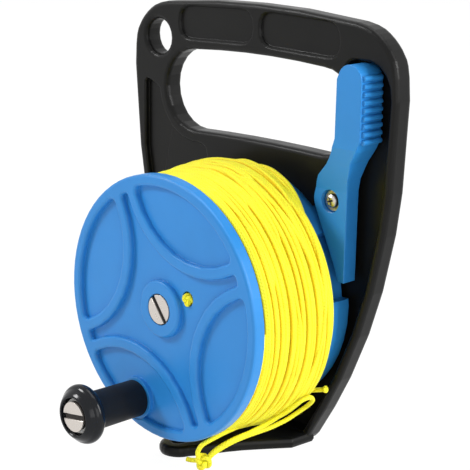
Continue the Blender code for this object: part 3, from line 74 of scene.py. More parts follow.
# The waves fade out over a twelfth of a layer at each end
END_FADE = 12
SEED = 7

# Braid: its carriers' pitch and number each way, and the depth and middle of its form on the free line
BRAID_PITCH = 0.0070
BRAID_CARRIERS = 4
BRAID_DEPTH = 0.00010
BRAID_MIDDLE = 0.5

# Strands that cross the winding: share of its width at the start and end, start angle, sweep, height, ease
CROSSINGS = (
    (0.10, 0.30, 2.50, 2.60, 0.0006, 0.12), (0.42, 0.60, 0.45, 2.20, 0.0007, 0.12),
    (0.80, 0.58, 1.95, 2.80, 0.0007, 0.12), (0.30, 0.50, -2.20, 2.00, 0.0006, 0.12),
    (0.66, 0.84, -0.90, 1.90, 0.0008, 0.12), (0.20, 0.08, 0.20, 1.70, 0.0006, 0.15),
    (0.52, 0.36, -0.75, 1.50, 0.0006, 0.15), (0.70, 0.55, 0.10, 1.30, 0.0007, 0.15),
    (0.34, 0.22, 0.85, 1.60, 0.0006, 0.15), (0.62, 0.74, 1.05, 1.20, 0.0006, 0.15),
)
# Loose strands piled at the winding's back end, in the same terms
LOOSE_STRANDS = (
    (0.962, 0.970, 0.56, 1.16, 0.0061, 0.46), (0.925, 0.945, 0.54, 1.25, 0.0037, 0.46),
    (0.88, 0.90, 0.70, 1.30, 0.0020, 0.47), (0.79, 0.83, 0.66, 1.00, 0.0012, 0.40),
)
# Part of the winding that lies lower: middle angle, half its sweep, the sweep of its edges, and the drop
SAG_MIDDLE = math.radians(140)
SAG_HALF = math.radians(58)
SAG_EDGE = math.radians(9)
SAG_DROP = 0.0010

# Free line, in millimetres in the reel's frame, within 3 mm of the routes of the solids
STANDING_LINE_ROUTE = (
    (32.6, 26.0, -60.2), (32.4, 20.5, -60.7), (32.4, 14.5, -61.2), (31.9, 8.5, -62.3), (30.8, 4.0, -63.7),
    (29.3, 1.8, -65.5), (28.1, 0.8, -68.2), (27.7, 0.7, -70.0),
)
LOOP_LINE_ROUTE = (
    (30.8, 8.2, -71.4), (33.1, 13.0, -68.4), (34.9, 18.0, -66.4), (36.3, 22.4, -65.2), (37.1, 26.2, -64.6),
    (38.0, 30.0, -64.1), (38.8, 33.8, -63.7), (39.7, 37.6, -63.2), (40.3, 41.0, -62.8), (41.2, 44.5, -61.9),
    (42.7, 47.8, -60.6), (44.5, 50.6, -58.8), (46.8, 53.0, -56.4), (49.5, 55.0, -53.8), (52.5, 55.9, -51.0),
    (55.4, 55.2, -48.1), (57.1, 53.0, -45.8), (57.9, 50.1, -44.5), (57.7, 47.1, -44.6), (56.1, 44.8, -46.0),
    (53.0, 43.4, -48.9), (49.2, 41.9, -52.6), (46.4, 40.2, -55.0), (44.0, 37.9, -57.4), (41.6, 35.6, -59.5),
    (39.9, 32.7, -61.1), (39.0, 29.0, -62.1), (39.0, 24.4, -62.5), (38.8, 20.0, -62.8), (37.8, 15.2, -63.8),
    (35.8, 10.4, -65.9), (32.8, 6.2, -69.4),
)
LINE_END_ROUTE = (
    (45.4, 59.2, -46.3), (49.0, 60.2, -45.4), (52.5, 61.2, -44.6), (56.0, 62.2, -43.7), (59.2, 62.8, -42.8),
)
# Ends that lie hidden in the winding or the knot
STANDING_SUNK = ((42.2, 41.0, -52.8), (38.4, 37.0, -56.2), (35.6, 33.5, -58.3), (33.8, 29.5, -59.4))
STANDING_IN_KNOT = ((27.9, 1.6, -73.2), (29.2, 3.4, -75.2))
LOOP_IN_KNOT = (29.6, 4.6, -74.6)
TAIL_IN_KNOT = (26.6, 3.2, -75.0)
TAIL_ROUTE = ((24.2, 2.9, -75.2), (21.0, 2.0, -75.6), (18.9, 1.2, -75.4))
KNOT_PLACE = Vector((28.9, 3.4, -74.7)) * MILLIMETRE
ANCHOR_PLACE = Vector((18.4, 3.9, 8.2)) * MILLIMETRE

# Knots: ring radius, swing, half height, turns about X and Z, and stretch
LOOP_KNOT = (0.0023, 0.0011, 0.0019, (1.2, 0.5), (1.0, 1, 1.02))
ANCHOR_KNOT = (0.0016, 0.0009, 0.0013, (1.5, 0.2), (1, 1, 1))
KNOT_RINGS = 90
KNOT_SIDES = 14

# Melted end: its length and swell, and as shares of that length the blob's middle and reach and the round tip
MELTED_LENGTH = 0.0036
MELTED_SWELL = 0.56
MELTED_MIDDLE = 0.45
MELTED_REACH = 0.55
MELTED_TIP = 0.28
# Its point stays a little blunt
MELTED_POINT = 0.02

# Colours, as linear values
BLACK = (0.0060, 0.0060, 0.0058, 1)
KNOB_BLACK = (0.006, 0.007, 0.009, 1)
BLUE = (0.026, 0.230, 0.600, 1)
STEEL = (0.62, 0.575, 0.53, 1)
# Grime with painted shade, put in screws' slots and down the sides of their heads
GRIME_AND_SHADE = (0.012, 0.008, 0.005, 1)
NYLON = (0.72, 0.71, 0.68, 1)
YELLOW = (0.96, 0.93, 0.022, 1)
DEEP_YELLOW = (0.95, 0.85, 0.014, 1)
# Painted shade on the flanks of wound strands, where they lie against each other
STRAND_FLANK_PAINTED_SHADE = (0.96, 0.70, 0.004, 1)
# Painted shade in the braid's grooves
BRAID_GROOVE_PAINTED_SHADE = (0.84, 0.60, 0.004, 1)
PAPER = (0.92, 0.92, 0.92, 1)

# Plastic's look: the scale of its clouds, and how far handling marks change its roughness
PLASTIC_CLOUDS = 38
MARKS_POLISHED = 0.86
MARKS_MATT = 1.16

# Line's look: its clouds, filaments and relief
LINE_CLOUDS = 60
FILAMENT_SHARE = 0.6
BRAID_RELIEF = 0.00015
BRAID_STRENGTH = 0.8
# The braid's waves between which its grooves fill up with painted shade, and that shade's share
GROOVE_BOTTOM = -0.6
GROOVE_TOP = 0.5
GROOVE_SHARE = 0.32
# How far a wound strand has to face outward to be flank, which takes painted shade, or crest
CREST_BEGINS = 0.15
CREST_ENDS = 0.75
LINE_SHADER = {
    "Roughness": 0.62,
    "Sheen Weight": 0.15,
    "Sheen Roughness": 0.4,
    "Sheen Tint": (1, 0.95, 0.3, 1),
    "Subsurface Weight": 0.35,
    "Subsurface Radius": (1.0, 0.8, 0.1),
    "Subsurface Scale": 0.0008,
}

# Steel's look: its turned rings in radians a metre, their share of the relief, and its roughness
RING_RATE = 26000
RING_SHARE = 0.4
STEEL_RELIEF = 0.000012
STEEL_EDGE = 0.00025
STEEL_ROUGHNESS = 0.30
STEEL_POLISHED = 0.75
STEEL_MATT = 1.45
GRIME_AND_SHADE_ROUGHNESS = 0.4

# Paper: half its width, its roughness, how much of it glows, and how brightly
PAPER_HALF = 6.0
PAPER_ROUGHNESS = 0.9
PAPER_GLOW = 0.88
PAPER_WHITE = 1.09

# Soft lamps: name, place, width and height, and watts
LAMPS = (
    ("key_softbox", (-1.05, -1.00, 1.18), (0.5, 0.5), 22),
    ("right_softbox", (1.40, 0.50, 0.75), (0.6, 0.9), 21),
    ("fill_softbox", (1.30, -0.70, 0.30), (0.9, 0.9), 6),
    ("top_softbox", (0.1, 0.25, 1.6), (1.2, 0.9), 9),
)
LAMP_TARGET = Vector((0, 0, 0.11))
WORLD_STRENGTH = 0.20

# Crank knob, as turned: places along Y from the flange's face, and radii
KNOB_BACK = 0.0002
KNOB_FACE = -0.0415
KNOB_NECK = ((0.0, 0.0094), (-0.0003, 0.0097), (-0.0160, 0.0098), (-0.0302, 0.0100))
KNOB_SWELL = (-0.0311, 0.0107)
KNOB_BULB_PLACE = -0.0350
KNOB_BULB_RING = 0.0117
KNOB_BULB_RADIUS = 0.0038
KNOB_BULB_ANGLES = [math.radians(78 - step * 4) for step in range(34)]
KNOB_CROWN = ((-0.0401, 0.01237), (-0.0412, 0.0112))
KNOB_LIP_RADIUS = 0.0108
KNOB_LIP_SHARE = 0.3
KNOB_WELL_RADIUS = 0.0098
KNOB_WELL_FLOOR = -0.0370
KNOB_BORE = 0.0043
KNOB_SIDES = 96
KNOB_POLISH = 0.17
KNOB_NECK_MATT = 0.45
KNOB_MATT_FADE = 0.004
KNOB_SHINE = 0.22

# Slotted heads: radius, slot width, slot angle, edge rounding, slot depth, and how far the face sits back
AXLE_HEAD = (0.0076, 0.0024, math.radians(127), 0.0003, 0.0012, 0.0011)
CRANK_HEAD = (0.0078, 0.0026, math.radians(8), 0.0003, 0.0012, 0.0005)
HEAD_SIDES = 72
# What both heads share: their back, their halves' edges and overlap, and the shank with its narrow core
HEAD_BACK = 0.0028
HEAD_EDGE_STEPS = 3
HALF_OVERLAP = 0.0001
SHANK_RADIUS = 0.0022
CORE_RADIUS = 0.0001
# Edges of turned pieces that bend by more than this stay sharp
SHARP_ANGLE = math.radians(40)


# Nodes
class Paint:
    """A material whose nodes are added one by one."""

    def __init__(self, name):
        self.material = bpy.data.materials.new(name)
        self.material.use_nodes = True
        self.tree = self.material.node_tree
        self.shader = self.tree.nodes["Principled BSDF"]

    def node(self, kind, **settings):
        made = self.tree.nodes.new(kind)
        for key, value in settings.items():
            setattr(made, key, value)
        return made

    def link(self, output, target):
        self.tree.links.new(output, target)

    def place(self, kind="Object"):
        """Where a point of the surface lies, or another of its coordinates."""
        return self.node("ShaderNodeTexCoord").outputs[kind]

    def noise(self, scale, detail=3.0, roughness=0.5, vector=None, stretch=None):
        """Noise over the surface, denser along an axis where its stretch is greater."""
        made = self.node("ShaderNodeTexNoise")
        made.inputs["Scale"].default_value = scale
        made.inputs["Detail"].default_value = detail
        made.inputs["Roughness"].default_value = roughness
        source = vector or self.place()
        if stretch:
            mapping = self.node("ShaderNodeMapping")
            mapping.inputs["Scale"].default_value = stretch
            self.link(source, mapping.inputs["Vector"])
            source = mapping.outputs["Vector"]
        self.link(source, made.inputs["Vector"])
        return made.outputs["Fac"]

    def clouds(self, scale):
        """Soft clouds that run the whole way from 0 to 1."""
        return self.spread(self.noise(scale, detail=4, roughness=0.6), 0.35, 0.65, 0, 1)

    def spread(self, value, low, high, out_low, out_high):
        """A value taken from one range to another, and held at its ends."""
        made = self.node("ShaderNodeMapRange")
        made.inputs["From Min"].default_value = low
        made.inputs["From Max"].default_value = high
        made.inputs["To Min"].default_value = out_low
        made.inputs["To Max"].default_value = out_high
        self.link(value, made.inputs["Value"])
        return made.outputs["Result"]

    def math(self, operation, first, second=None):
        made = self.node("ShaderNodeMath", operation=operation)
        for socket, value in zip(made.inputs, (first, second)):
            if value is None:
                continue
            if isinstance(value, (int, float)):
                socket.default_value = value
            else:
                self.link(value, socket)
        return made.outputs["Value"]

    def mixed(self, factor, first, second):
        """Two colours mixed. The node takes colours at its inputs 6 and 7 and gives one at its output 2."""
        made = self.node("ShaderNodeMix", data_type="RGBA")
        self.link(factor, made.inputs["Factor"])
        for socket, value in ((made.inputs[6], first), (made.inputs[7], second)):
            if isinstance(value, tuple):
                socket.default_value = value
            else:
                self.link(value, socket)
        return made.outputs[2]

    def rough(self, value):
        self.link(value, self.shader.inputs["Roughness"])

    def colour(self, value):
        if isinstance(value, tuple):
            self.shader.inputs["Base Color"].default_value = value
        else:
            self.link(value, self.shader.inputs["Base Color"])

    def relief(self, height, distance, strength=1.0, round_edges=0.0):
        """Fine relief in the shading, with edges that look rounded if asked."""
        bump = self.node("ShaderNodeBump")
        bump.inputs["Distance"].default_value = distance
        bump.inputs["Strength"].default_value = strength
        self.link(height, bump.inputs["Height"])
        if round_edges:
            bevel = self.node("ShaderNodeBevel", samples=6)
            bevel.inputs["Radius"].default_value = round_edges
            self.link(bevel.outputs["Normal"], bump.inputs["Normal"])
        self.link(bump.outputs["Normal"], self.shader.inputs["Normal"])


class Studio(Paint):
    """The world, built with the same helpers as a material."""

    def __init__(self, name):
        self.world = bpy.data.worlds.new(name)
        self.world.use_nodes = True
        self.tree = self.world.node_tree

    def background(self, strength):
        made = self.node("ShaderNodeBackground")
        made.inputs["Color"].default_value = (1, 1, 1, 1)
        made.inputs["Strength"].default_value = strength
        return made.outputs["Background"]


def moulded_plastic(name, colour, roughness, grain, grain_depth, edge, shift=0.06, shine=0.5):
    """Moulded plastic: a fine spark-eroded grain, faint flow clouds in the colour, and handling marks."""
    paint = Paint(name)
    clouds = paint.clouds(PLASTIC_CLOUDS)
    darker = tuple(channel * (1 - shift) for channel in colour[:3]) + (1,)
    lighter = tuple(min(1.0, channel * (1 + shift)) for channel in colour[:3]) + (1,)
    paint.colour(paint.mixed(clouds, darker, lighter))
    smears = paint.noise(scale=55, detail=6, roughness=0.62, stretch=(1, 1, 2.5))
    paint.rough(paint.spread(smears, 0.3, 0.7, roughness * MARKS_POLISHED, roughness * MARKS_MATT))
    paint.shader.inputs["Specular IOR Level"].default_value = shine
    paint.relief(paint.noise(grain, detail=2, roughness=0.55), grain_depth, round_edges=edge)
    return paint


def from_axis(paint, centre):
    """The way to a surface from the axis that runs along Y through a centre."""
    away = paint.node("ShaderNodeVectorMath", operation="SUBTRACT")
    paint.link(paint.place(), away.inputs[0])
    away.inputs[1].default_value = centre
    flat = paint.node("ShaderNodeVectorMath", operation="MULTIPLY")
    paint.link(away.outputs["Vector"], flat.inputs[0])
    flat.inputs[1].default_value = (1, 0, 1)
    return flat.outputs["Vector"]


def turned_steel(name, centre, roughness):
    """Steel with the fine rings that turning leaves on a screw's head."""
    paint = Paint(name)
    paint.colour(STEEL)
    paint.shader.inputs["Metallic"].default_value = 1.0
    away = from_axis(paint, centre)
    reach = paint.node("ShaderNodeVectorMath", operation="LENGTH")
    paint.link(away, reach.inputs[0])
    rings = paint.math("SINE", paint.math("MULTIPLY", reach.outputs["Value"], RING_RATE))
    grain = paint.noise(scale=900, detail=3)
    height = paint.math("ADD", paint.math("MULTIPLY", rings, RING_SHARE), grain)
    spots = paint.noise(scale=320, detail=5, roughness=0.65)
    paint.rough(paint.spread(spots, 0.35, 0.7, roughness * STEEL_POLISHED, roughness * STEEL_MATT))
    paint.relief(height, STEEL_RELIEF, round_edges=STEEL_EDGE)
    return paint


def grimy_and_shaded(paint, face, depth):
    """Old grime with painted shade on a steel, darker in its slot and down its head's side: none at its face,
    and full at twice the depth behind it.
    """
    split = paint.node("ShaderNodeSeparateXYZ")
    paint.link(paint.place(), split.inputs["Vector"])
    # Painted shade with grime: the colour darkens with depth behind the face
    clean_and_unshaded = paint.spread(split.outputs["Y"], face + depth, face + depth * 2, 1, 0)
    paint.colour(paint.mixed(clean_and_unshaded, GRIME_AND_SHADE, STEEL))
    paint.link(clean_and_unshaded, paint.shader.inputs["Metallic"])
    polish = paint.shader.inputs["Roughness"].links[0].from_socket
    paint.rough(paint.math("ADD", polish, paint.spread(clean_and_unshaded, 0, 1, GRIME_AND_SHADE_ROUGHNESS, 0)))
    return paint


def outwardness(paint):
    """How far a wound strand's surface faces away from the spool's axis: 1 at its crest and 0 at its flanks."""
    away = from_axis(paint, REEL_PLACE)
    unit = paint.node("ShaderNodeVectorMath", operation="NORMALIZE")
    paint.link(away, unit.inputs[0])
    facing = paint.node("ShaderNodeVectorMath", operation="DOT_PRODUCT")
    paint.link(unit.outputs["Vector"], facing.inputs[0])
    paint.link(paint.place("Normal"), facing.inputs[1])
    return facing.outputs["Value"]


def braided_line(name, wound=False):
    """Braided line: crossing carriers of fine filaments, in a bright yellow with painted shade in its grooves,
    and on its flanks where it is wound.
    """
    paint = Paint(name)
    uv = paint.node("ShaderNodeUVMap", uv_map="UVMap").outputs["UV"]
    split = paint.node("ShaderNodeSeparateXYZ")
    paint.link(uv, split.inputs["Vector"])
    along = paint.math("MULTIPLY", split.outputs["X"], LINE_DIAMETER / BRAID_PITCH * 2 * math.pi)
    around = paint.math("MULTIPLY", split.outputs["Y"], 2 * math.pi)
    carriers = []
    for way in (1, -1):
        ringwise = paint.math("MULTIPLY", around, BRAID_CARRIERS)
        lengthwise = paint.math("MULTIPLY", along, BRAID_CARRIERS * way)
        carriers.append(paint.math("SINE", paint.math("ADD", ringwise, lengthwise)))
    over = paint.math("MAXIMUM", carriers[0], carriers[1])
    filaments = paint.noise(scale=700, detail=2, vector=uv, stretch=(0.02, 0.06, 1))
    height = paint.math("ADD", over, paint.math("MULTIPLY", filaments, FILAMENT_SHARE))
    paint.relief(height, BRAID_RELIEF, BRAID_STRENGTH)
    # Painted shade: the braid's grooves take a darker orange
    groove = paint.spread(over, GROOVE_BOTTOM, GROOVE_TOP, 1, 0)
    bright = paint.mixed(paint.clouds(LINE_CLOUDS), YELLOW, DEEP_YELLOW)
    if wound:
        # Painted shade: the flanks between wound strands take a deeper gold
        crest = paint.spread(outwardness(paint), CREST_BEGINS, CREST_ENDS, 0, 1)
        bright = paint.mixed(crest, STRAND_FLANK_PAINTED_SHADE, bright)
    paint.colour(paint.mixed(paint.math("MULTIPLY", groove, GROOVE_SHARE), bright, BRAID_GROOVE_PAINTED_SHADE))
    for key, value in LINE_SHADER.items():
        paint.shader.inputs[key].default_value = value
    return paint


# Geometry
def smooth(points, steps):
    """A Catmull-Rom curve through the points of an open route."""
    places = [Vector(point) for point in points]
    made = []
    for index in range(len(places) - 1):
        before = places[max(index - 1, 0)]
        first, last = places[index], places[index + 1]
        after = places[min(index + 2, len(places) - 1)]
        for step in range(steps):
            t = step / steps
            made.append((
                before * (-t ** 3 + 2 * t ** 2 - t)
                + first * (3 * t ** 3 - 5 * t ** 2 + 2)
                + last * (-3 * t ** 3 + 4 * t ** 2 + t)
                + after * (t ** 3 - t ** 2)
            ) / 2)
    return made + [places[-1]]


def reach_along(points):
    """How far along a polyline each of its points lies."""
    return np.concatenate([[0], np.cumsum(np.linalg.norm(np.diff(points, axis=0), axis=1))])


def evenly(points, spacing):
    """Points along a polyline about a spacing apart, as an array."""
    places = np.array([tuple(point) for point in points], float)
    reach = reach_along(places)
    count = max(2, round(reach[-1] / spacing))
    wanted = np.linspace(0, reach[-1], count + 1)
    return np.stack([np.interp(wanted, reach, places[:, axis]) for axis in range(places.shape[1])], axis=1)


def eased(share):
    """A share from 0 to 1 that starts and ends gently."""
    return share * share * (3 - 2 * share)


def add_object(name, data):
    """A new object of the scene."""
    made = bpy.data.objects.new(name, data)
    bpy.context.scene.collection.objects.link(made)
    return made


def frames_along(centres):
    """Unit vectors across a centreline that turn as little as they can."""
    along = np.gradient(centres, axis=0)
    along /= np.linalg.norm(along, axis=1)[:, None]
    across = np.zeros_like(along)
    # Any direction does here, as long as the line doesn't start along it
    start = np.cross(along[0], (0.31, 0.87, 0.38))
    across[0] = start / np.linalg.norm(start)
    for index in range(1, len(centres)):
        side = across[index - 1] - along[index] * np.dot(across[index - 1], along[index])
        across[index] = side / np.linalg.norm(side)
    return across, np.cross(along, across)


def line_mesh(name, centres, diameter, sides, relief=0.0, closed_ends=True, swell=None):
    """A round line with UVs, U in diameters along it and V once round it. Relief is the braid's depth."""
    across, up = frames_along(centres)
    count = len(centres)
    reach = reach_along(centres)
    angles = np.arange(sides) / sides * 2 * math.pi
    radius = np.full((count, sides), diameter / 2)
    if relief:
        phase = reach[:, None] / BRAID_PITCH * 2 * math.pi * BRAID_CARRIERS
        one = np.sin(angles[None, :] * BRAID_CARRIERS + phase)
        other = np.sin(angles[None, :] * BRAID_CARRIERS - phase)
        radius += relief * (np.maximum(one, other) - BRAID_MIDDLE)
    if swell is not None:
        radius *= swell[:, None]
    cosines = np.cos(angles)[None, :, None]
    sines = np.sin(angles)[None, :, None]
    outward = across[:, None, :] * cosines + up[:, None, :] * sines
    points = (centres[:, None, :] + radius[:, :, None] * outward).reshape(-1, 3)
    ring, side = np.meshgrid(np.arange(count - 1), np.arange(sides), indexing="ij")
    after = (side + 1) % sides
    faces = np.stack([ring * sides + side, ring * sides + after, (ring + 1) * sides + after,
                      (ring + 1) * sides + side], axis=-1).reshape(-1, 4)
    mesh = bpy.data.meshes.new(name)
    made_faces = faces.tolist()
    made_points = points.tolist()
    if closed_ends:
        made_points += [centres[0].tolist(), centres[-1].tolist()]
        first, last = count * sides, count * sides + 1
        base = (count - 1) * sides
        for index in range(sides):
            following = (index + 1) % sides
            made_faces.append([first, following, index])
            made_faces.append([last, base + index, base + following])
    mesh.from_pydata(made_points, [], made_faces)
    u = reach / diameter
    layer = mesh.uv_layers.new(name="UVMap")
    values = np.zeros((len(mesh.loops), 2), np.float32)
    quads = len(faces)
    values[:quads * 4, 0] = np.stack([u[ring], u[ring], u[ring + 1], u[ring + 1]], axis=-1).reshape(-1)
    values[:quads * 4, 1] = np.stack([side, side + 1, side + 1, side], axis=-1).reshape(-1) / sides
    layer.data.foreach_set("uv", values.reshape(-1))
    mesh.shade_smooth()
    return add_object(name, mesh)


def dress(piece, paint, body, slot, *nodes):
    """Give a piece its material and its body, and hide the nodes that it stands for. The slot is not used."""
    piece.data.materials.clear()
    piece.data.materials.append(paint.material)
    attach(piece, body)
    if nodes:
        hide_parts(*nodes)
    return piece


def in_row(points):
    """Points in millimetres in the reel's frame, as an array in the row frame."""
    return np.array([tuple(Vector(point) * MILLIMETRE + REEL_PLACE) for point in points])


def turned_mesh(name, profile, sides, place):
    """A closed ring turned about the Y axis from (depth, radius) points, with its sharp edges kept."""
    angles = np.arange(sides) / sides * 2 * math.pi
    count = len(profile)
    points = [(radius * math.cos(angle), depth, radius * math.sin(angle)) for angle in angles
              for depth, radius in profile]
    faces = []
    for side in range(sides):
        after = (side + 1) % sides
        for index in range(count):
            following = (index + 1) % count
            faces.append((side * count + index, side * count + following, after * count + following,
                          after * count + index))
    mesh = bpy.data.meshes.new(name)
    mesh.from_pydata([tuple(Vector(point) + place) for point in points], [], faces)
    mesh.shade_smooth()
    mesh.set_sharp_from_angle(angle=SHARP_ANGLE)
    return add_object(name, mesh)


def slotted_head(name, paint, screw, body, shape):
    """A screw's head as two half discs on a base, with a wide slot between them, in place of its solid."""
    radius, slot, turn, edge, depth, sunk = shape
    low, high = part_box(screw)
    place = Vector(((low[0] + high[0]) / 2, low[1] + sunk, (low[2] + high[2]) / 2))
    length = high[1] - low[1] - sunk
    profile = [(depth, CORE_RADIUS), (depth, radius - edge),
               (HEAD_BACK, radius - edge), (HEAD_BACK, SHANK_RADIUS),
               (length, SHANK_RADIUS), (length, CORE_RADIUS)]
    base = turned_mesh(name, profile, HEAD_SIDES, place)
    reach = math.asin(slot / 2 / radius)
    build = bmesh.new()
    build.from_mesh(base.data)
    for side in (0, math.pi):
        angles = np.linspace(side + reach, side + math.pi - reach, HEAD_SIDES // 2)
        rim = [Vector((radius * math.cos(angle), 0, radius * math.sin(angle))) for angle in angles]
        half = bmesh.new()
        front = [half.verts.new(point) for point in rim]
        back = [half.verts.new(point + Vector((0, depth + HALF_OVERLAP, 0))) for point in rim]
        half.faces.new(front)
        half.faces.new(back[::-1])
        for index in range(len(rim)):
            after = (index + 1) % len(rim)
            half.faces.new((front[index], back[index], back[after], front[after]))
        front_edges = [line for line in half.edges if all(point.co.y < edge for point in line.verts)]
        bmesh.ops.bevel(half, geom=front_edges, offset=edge, segments=HEAD_EDGE_STEPS, affect="EDGES",
                        profile=0.5)
        bmesh.ops.rotate(half, verts=half.verts, matrix=Matrix.Rotation(-turn, 3, "Y"))
        bmesh.ops.translate(half, verts=half.verts, vec=place)
        bmesh.ops.recalc_face_normals(half, faces=half.faces)
        piece = bpy.data.meshes.new(name + "_half")
        half.to_mesh(piece)
        build.from_mesh(piece)
        bpy.data.meshes.remove(piece)
        half.free()
    build.to_mesh(base.data)
    build.free()
    base.data.shade_smooth()
    base.data.set_sharp_from_angle(angle=SHARP_ANGLE)
    dress(base, paint, body, "steel", screw)


def make_knob(paint):
    """The crank's knob with its round bulb, in place of the coarser solid."""
    low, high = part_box("crank_knob")
    place = Vector(((low[0] + high[0]) / 2, REEL_PLACE.y, (low[2] + high[2]) / 2))
    bulb = [(KNOB_BULB_PLACE + KNOB_BULB_RADIUS * math.sin(angle),
             KNOB_BULB_RING + KNOB_BULB_RADIUS * math.cos(angle)) for angle in KNOB_BULB_ANGLES]
    crown = smooth([(*point, 0) for point in (bulb[-1], *KNOB_CROWN)], CURVE_STEPS)
    lip = (KNOB_LIP_RADIUS - KNOB_WELL_RADIUS) * KNOB_LIP_SHARE
    profile = [(KNOB_BACK, KNOB_BORE), (KNOB_BACK, KNOB_NECK[0][1]), *KNOB_NECK[1:], KNOB_SWELL, *bulb,
               *[tuple(point[:2]) for point in crown[1:]],
               (KNOB_FACE, KNOB_LIP_RADIUS), (KNOB_FACE, KNOB_WELL_RADIUS + lip),
               (KNOB_FACE + lip, KNOB_WELL_RADIUS), (KNOB_WELL_FLOOR, KNOB_WELL_RADIUS),
               (KNOB_WELL_FLOOR, KNOB_BORE)]
    knob_piece = turned_mesh("crank_knob_turned", profile, KNOB_SIDES, place)
    dress(knob_piece, paint, "knob", "knob_plastic", "crank_knob")


# Wound line
def winding_profile(drop):
    """The middle of a layer as an array of (y, radius), evenly spaced, lower than the outer layer by drop."""
    span = WINDING_BACK - WINDING_FRONT
    outline = [(WINDING_FRONT + share * span, reach * WINDING_RADIUS, 0) for share, reach in WINDING_SHARES]
    points = evenly(smooth(outline, CURVE_STEPS), PROFILE_STEP)[:, :2]
    along = np.gradient(points, axis=0)
    along /= np.linalg.norm(along, axis=1)[:, None]
    return points + np.stack([along[:, 1], -along[:, 0]], axis=1) * drop


def wander(turns, random, size):
    """A slow sideways drift along a winding, the same in neighbouring turns, so that they stay side by side."""
    values = np.zeros_like(turns)
    for rate, share in DRIFT_WAVES:
        values += share * np.sin(2 * math.pi * (rate * turns + random.random()))
    return values * size


def sag(angle):
    """How much lower the winding lies at an angle."""
    apart = np.abs((angle - SAG_MIDDLE + math.pi) % (2 * math.pi) - math.pi)
    share = np.clip((SAG_HALF - apart) / SAG_EDGE, 0, 1)
    return SAG_DROP * eased(share)


def on_winding(profile, reach, lift, angle):
    """Points at places along a layer's outline and angles round it, with a lift above it."""
    places = np.arange(len(profile))
    depth = np.interp(reach, places, profile[:, 0])
    radius = np.interp(reach, places, profile[:, 1]) + lift - sag(angle)
    points = np.stack([radius * np.cos(angle), depth, radius * np.sin(angle)], axis=1)
    return points + np.array(REEL_PLACE)


def wind(turn_count, drop, size, random, lift=0.0):
    """A layer of line wound from flange to flange, lower than the outer layer by drop."""
    profile = winding_profile(drop)
    count = round(turn_count * RINGS_PER_TURN)
    turns = np.arange(count + 1) / RINGS_PER_TURN
    share = turns / turn_count
    ends = np.clip(np.minimum(share, 1 - share) * END_FADE, 0, 1)
    reach = share * (len(profile) - 1) + wander(turns, random, size) * ends * LINE_DIAMETER / PROFILE_STEP
    heave = 0.5 + 0.5 * np.sin(2 * math.pi * (HEAVE_WAVES * turns + random.random()))
    return on_winding(profile, reach, lift * heave * ends, -2 * math.pi * turns)


def crossing(start_share, end_share, start_angle, sweep, height, ease):
    """A stretch of line that runs over the outer layer at a height above it, sinking into it at both ends."""
    profile = winding_profile(0)
    steps = round(abs(sweep) / (2 * math.pi) * RINGS_PER_TURN)
    t = np.linspace(0, 1, steps + 1)
    reach = (start_share + (end_share - start_share) * eased(t)) * (len(profile) - 1)
    rise = eased(np.clip(np.minimum(t, 1 - t) / ease, 0, 1))
    return on_winding(profile, reach, (LINE_DIAMETER + height) * rise - LINE_DIAMETER, start_angle + sweep * t)


def make_winding(paint):
    """Both wound layers, and the strands over them."""
    random = np.random.default_rng(SEED)
    lower_turns = wind(LOWER_TURNS, LOWER_DROP, DRIFT / 2, random)
    lower = line_mesh("line_lower_layer", lower_turns, LINE_DIAMETER, LOWER_LINE_SIDES)
    dress(lower, paint, "spool", "line", "line_core")
    top_turns = wind(TOP_TURNS, 0.0, DRIFT, random, HEAVE)
    top = line_mesh("line_outer_layer", top_turns, LINE_DIAMETER, LINE_SIDES)
    dress(top, paint, "spool", "line", "line_winding")
    for number, places in enumerate(CROSSINGS + LOOSE_STRANDS):
        strand = line_mesh(f"line_crossing_{number + 1}", crossing(*places), LINE_DIAMETER, LINE_SIDES)
        dress(strand, paint, "spool", "line")


# Free line
def free_line(name, route, swell=None):
    """A piece of free line along a route, with the path of its middle."""
    centres = evenly(smooth(in_row(route), FREE_CURVE_STEPS), FREE_RING_SPACING)
    profile = None if swell is None else swell(len(centres))
    return line_mesh(name, centres, LINE_DIAMETER, FREE_LINE_SIDES, BRAID_DEPTH, swell=profile), centres


def melted_tip(count):
    """The thickness along a line whose end has been melted into a blob."""
    from_end = np.arange(count)[::-1] * FREE_RING_SPACING / MELTED_LENGTH
    blob = np.clip(1 - np.abs(from_end - MELTED_MIDDLE) / MELTED_REACH, 0, 1)
    rounded = np.sqrt(np.clip(from_end / MELTED_TIP, MELTED_POINT, 1))
    return (1 + MELTED_SWELL * eased(blob)) * rounded


def knot(name, place, shape):
    """A tight overhand knot in the line, closed in itself as a trefoil."""
    ring, swing, flat, turn, stretch = shape
    t = np.linspace(0, 2 * math.pi, KNOT_RINGS)
    across = ring + swing * np.cos(3 * t)
    centres = np.stack([across * np.cos(2 * t), across * np.sin(2 * t), flat * np.sin(3 * t)], axis=1)
    for angle, axis in zip(turn, "XZ"):
        centres = centres @ np.array(Matrix.Rotation(angle, 3, axis)).T
    centres = centres * np.array(stretch) + np.array(place + REEL_PLACE)
    return line_mesh(name, centres, LINE_DIAMETER, KNOT_SIDES, BRAID_DEPTH, closed_ends=False)


